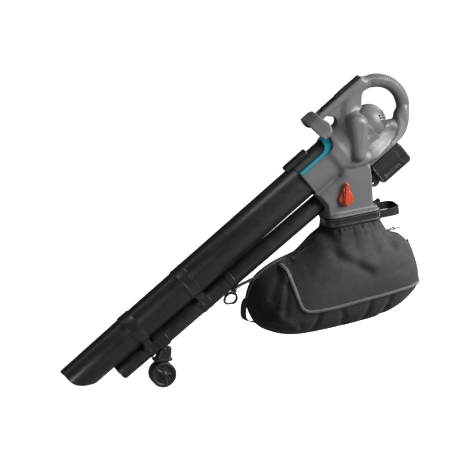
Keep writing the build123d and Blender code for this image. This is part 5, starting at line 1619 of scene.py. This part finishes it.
def on_profile(bearing, lift, y=0.0):
    """Point lift above the bag's skin and its normal there, at a bearing in radians seen from the left."""
    outward = Vector((math.cos(bearing), 0, math.sin(bearing))).normalized()
    origin = Vector((BAG_HEART[0], y, BAG_HEART[1])) + outward * 400
    hit, normal, _, _ = bag_skin.ray_cast(origin * MM, -outward)
    if hit is None:
        return None, None
    if normal.dot(outward) < 0:
        normal = -normal
    return hit / MM + normal * lift, normal


def profile_seam(name, first, last, steps, lift, profile, material, y=0.0):
    """Cord round the bag's outline between two bearings, in degrees seen from the left."""
    placed = [on_profile(math.radians(first + (last - first) * k / steps), lift, y) for k in range(steps + 1)]
    placed = [(point, normal) for point, normal in placed if point is not None]
    path = smoothed([p for p, _ in placed], 3)
    normals = smoothed([n for _, n in placed], 3)
    return sweep(name, path, across_path(path, normals), profile, material, smooth=50)


settle(profile_seam("bag_seam", 152, 318, 150, 0.4, round_wire(1.5, 10), PIPING), "machine", "bag_fabric")

ZIP_BEARINGS = (-18, 24)
TEETH = 56


def on_zip(share, lift):
    """Frame on the bag's skin at a share of the zip's length, its Z axis outwards."""
    bearing = math.radians(ZIP_BEARINGS[0] + (ZIP_BEARINGS[1] - ZIP_BEARINGS[0]) * share)
    point, normal = on_profile(bearing, lift)
    return Matrix.Translation(point) @ normal.to_track_quat("Z", "Y").to_matrix().to_4x4()


zip_parts = [profile_seam(f"zip_tape_{side}", *ZIP_BEARINGS, 60, 0.9, flat_band(9, 1.1), ZIP, y=side * 6.2)
             for side in (-1, 1)]
zip_parts.append(profile_seam("zip_coil", *ZIP_BEARINGS, 60, 1.6, round_wire(1.1, 8), ZIP))
for k in range(TEETH):
    place = on_zip((k + 0.5) / TEETH, 2.0)
    zip_parts.append(softened_block(f"zip_tooth_{k}", (-0.9, -2.4, -0.7), (0.9, 2.4, 0.9), 0.3, ZIP, place))
zip_parts.append(softened_block("zip_pull", (-7, -3, -1.6), (5, 3, 1.6), 1.0, ZIP, on_zip(1, 3.4)))
settle(join("zip", zip_parts), "machine", "zip_black", "bag_zip")

GRAB_LINE = [(300, 0, 252), (276, 0, 249), (258, 0, 242), (250, 0, 226), (248, 0, 206), (250, 0, 188),
             (260, 0, 178), (278, 0, 172), (302, 0, 172)]
grab = sweep("bag_grab", curve_through(GRAB_LINE, 6), (-0.42, 0.9, 0), flat_band(25, 2.8), WEBBING)
settle(grab, "machine", "webbing", "bag_front_handle")

STRAP_LINE = [(228, -7.2, 284), (240, -7.4, 291), (262, -7.2, 299.5), (300, -6.8, 314), (326, -6.4, 328),
              (345, -5.6, 343)]
strap_path = curve_through(STRAP_LINE, 6)
strap_widths = across_path(strap_path, [Vector((0, -1, 0))] * len(strap_path))
strap = sweep("strap", strap_path, strap_widths, flat_band(10.5, 1.7), WEBBING, smooth=50)
settle(strap, "machine", "webbing", "bag_strap")

# wire D on the bag's shoulder and the folded tape that holds it
PIVOT = Vector(JOINTS["d_ring_swing"]["pos_m"]) / MM
BOW = 1.35
d_path = [PIVOT + Vector((0, y, 0)) for y in np.linspace(-8.5, 8.5, 6)]
d_path += [PIVOT + Vector((5 + 14.5 * math.cos(a), 10 * math.sin(a), 0)) for a in np.linspace(BOW, -BOW, 19)]
wire_d = sweep("wire_d", d_path, (0, 0, 1), round_wire(1.5, 10), STEEL, closed=True)
settle(wire_d, "bag_d_ring", "steel", "bag_d_ring")
tab_path = [PIVOT + Vector((-30, 0, -6)), PIVOT + Vector((-16, 0, -1.5)), PIVOT + Vector((-3.4, 0, 2.4))]
for k in range(9):
    a = math.radians(90 - 180 * k / 8)
    tab_path.append(PIVOT + Vector((3.2 * math.cos(a), 0, 3.2 * math.sin(a))))
tab_path += [PIVOT + Vector((-4, 0, -3.2)), PIVOT + Vector((-18, 0, -6)), PIVOT + Vector((-30, 0, -9))]
settle(sweep("ring_tape", tab_path, (0, 1, 0), flat_band(9, 1.2), WEBBING), "machine", "webbing")


# -------------------------------------------------------------------------- floor, light, camera
low, high = [Vector(c) for c in CAD_BOX]
centre = (low + high) / 2
CAMERA_AZIMUTH = math.radians(-17)
CAMERA_ELEVATION = math.radians(14)
TO_CAMERA = Vector((math.sin(CAMERA_AZIMUTH) * math.cos(CAMERA_ELEVATION),
                    -math.cos(CAMERA_AZIMUTH) * math.cos(CAMERA_ELEVATION), math.sin(CAMERA_ELEVATION)))
LAMP_DISTANCE = 2.6
ALONG_Y = Vector((0, 1, 0))


def soft_box(name, direction, size, power, long_axis=Vector((1, 0, 0))):
    """Soft panel that looks at the object from a direction, its long side along long_axis."""
    data = bpy.data.lights.new(name, "AREA")
    data.shape = "RECTANGLE"
    data.size, data.size_y = size
    data.energy = power
    lamp = bpy.data.objects.new(name, data)
    bpy.context.scene.collection.objects.link(lamp)
    facing = Vector(direction).normalized()
    along = (long_axis - facing * long_axis.dot(facing)).normalized()
    turn = Matrix((along, facing.cross(along), facing)).transposed().to_4x4()
    lamp.matrix_world = Matrix.Translation(centre + facing * LAMP_DISTANCE) @ turn


def facing_from(azimuth, elevation):
    """Direction from the object at an azimuth to the right of the camera's and at an elevation."""
    a, e = CAMERA_AZIMUTH + math.radians(azimuth), math.radians(elevation)
    return Vector((math.sin(a) * math.cos(e), -math.cos(a) * math.cos(e), math.sin(e)))


soft_box("key", facing_from(70, 30), (1.1, 1.6), 150, ALONG_Y)
soft_box("front_left", facing_from(-32, -3), (1.0, 0.7), 15)
soft_box("left_edge", facing_from(-88, 24), (0.5, 2.0), 3.5, ALONG_Y)
soft_box("right_edge", facing_from(140, 30), (0.8, 2.2), 30, ALONG_Y)
soft_box("top", Vector((-0.25, -0.1, 1)), (2.2, 1.0), 18)

# floor: white to the camera, darker to everything else, so that the black parts stay black
FLOOR_REACH = 200.0
FLOOR_GLOW = 0.95
FLOOR_GLOW_IN_GLOSS = 0.12
WORLD_FILL = 0.045
floor_corners = [(x * FLOOR_REACH, y * FLOOR_REACH, 0) for x, y in ((-1, -1), (1, -1), (1, 1), (-1, 1))]
floor_mesh = bpy.data.meshes.new("floor")
floor_mesh.from_pydata(floor_corners, [], [(0, 1, 2, 3)])
floor = bpy.data.objects.new("floor", floor_mesh)
bpy.context.scene.collection.objects.link(floor)
pale = Graph("floor_pale")
rays = pale.add("ShaderNodeLightPath").outputs
albedo = pale.mix(rays["Is Camera Ray"], (0.12, 0.12, 0.12, 1), (0.9, 0.9, 0.9, 1))
glow = pale.maths("ADD", pale.maths("MULTIPLY", rays["Is Camera Ray"], FLOOR_GLOW),
                  pale.maths("MULTIPLY", rays["Is Glossy Ray"], FLOOR_GLOW_IN_GLOSS))
pale.set(Base_Color=albedo, Roughness=0.85, Specular_IOR_Level=0.1, Emission_Color=(1, 1, 1, 1),
         Emission_Strength=glow)
floor_mesh.materials.append(pale.material)

world = bpy.data.worlds.new("studio")
bpy.context.scene.world = world
world.use_nodes = True
tree = world.node_tree
backdrop = tree.nodes["Background"]
backdrop.inputs["Color"].default_value = (1, 1, 1, 1)
backdrop.inputs["Strength"].default_value = 1.0
fill = tree.nodes.new("ShaderNodeBackground")
fill.inputs["Color"].default_value = (0.96, 0.98, 1, 1)
fill.inputs["Strength"].default_value = WORLD_FILL
rays = tree.nodes.new("ShaderNodeLightPath")
either = tree.nodes.new("ShaderNodeMixShader")
tree.links.new(rays.outputs["Is Camera Ray"], either.inputs[0])
tree.links.new(fill.outputs[0], either.inputs[1])
tree.links.new(backdrop.outputs[0], either.inputs[2])
tree.links.new(either.outputs[0], tree.nodes["World Output"].inputs["Surface"])

# viewing angle: from the machine's left, a little from the front and above
CAMERA_DISTANCE = 14.0
CAMERA_LENS = 370.4
AIM_SHIFT = Vector((-0.020, 0, -0.0005))
camera_data = bpy.data.cameras.new("camera")
camera_data.lens = CAMERA_LENS
camera_data.sensor_width = 36
camera = bpy.data.objects.new("camera", camera_data)
bpy.context.scene.collection.objects.link(camera)
aim = Vector((centre.x, 0, centre.z)) + AIM_SHIFT
camera.location = aim + TO_CAMERA * CAMERA_DISTANCE
camera.rotation_euler = TO_CAMERA.to_track_quat("Z", "Y").to_euler()
bpy.context.scene.camera = camera
bpy.context.scene.view_settings.view_transform = "Standard"
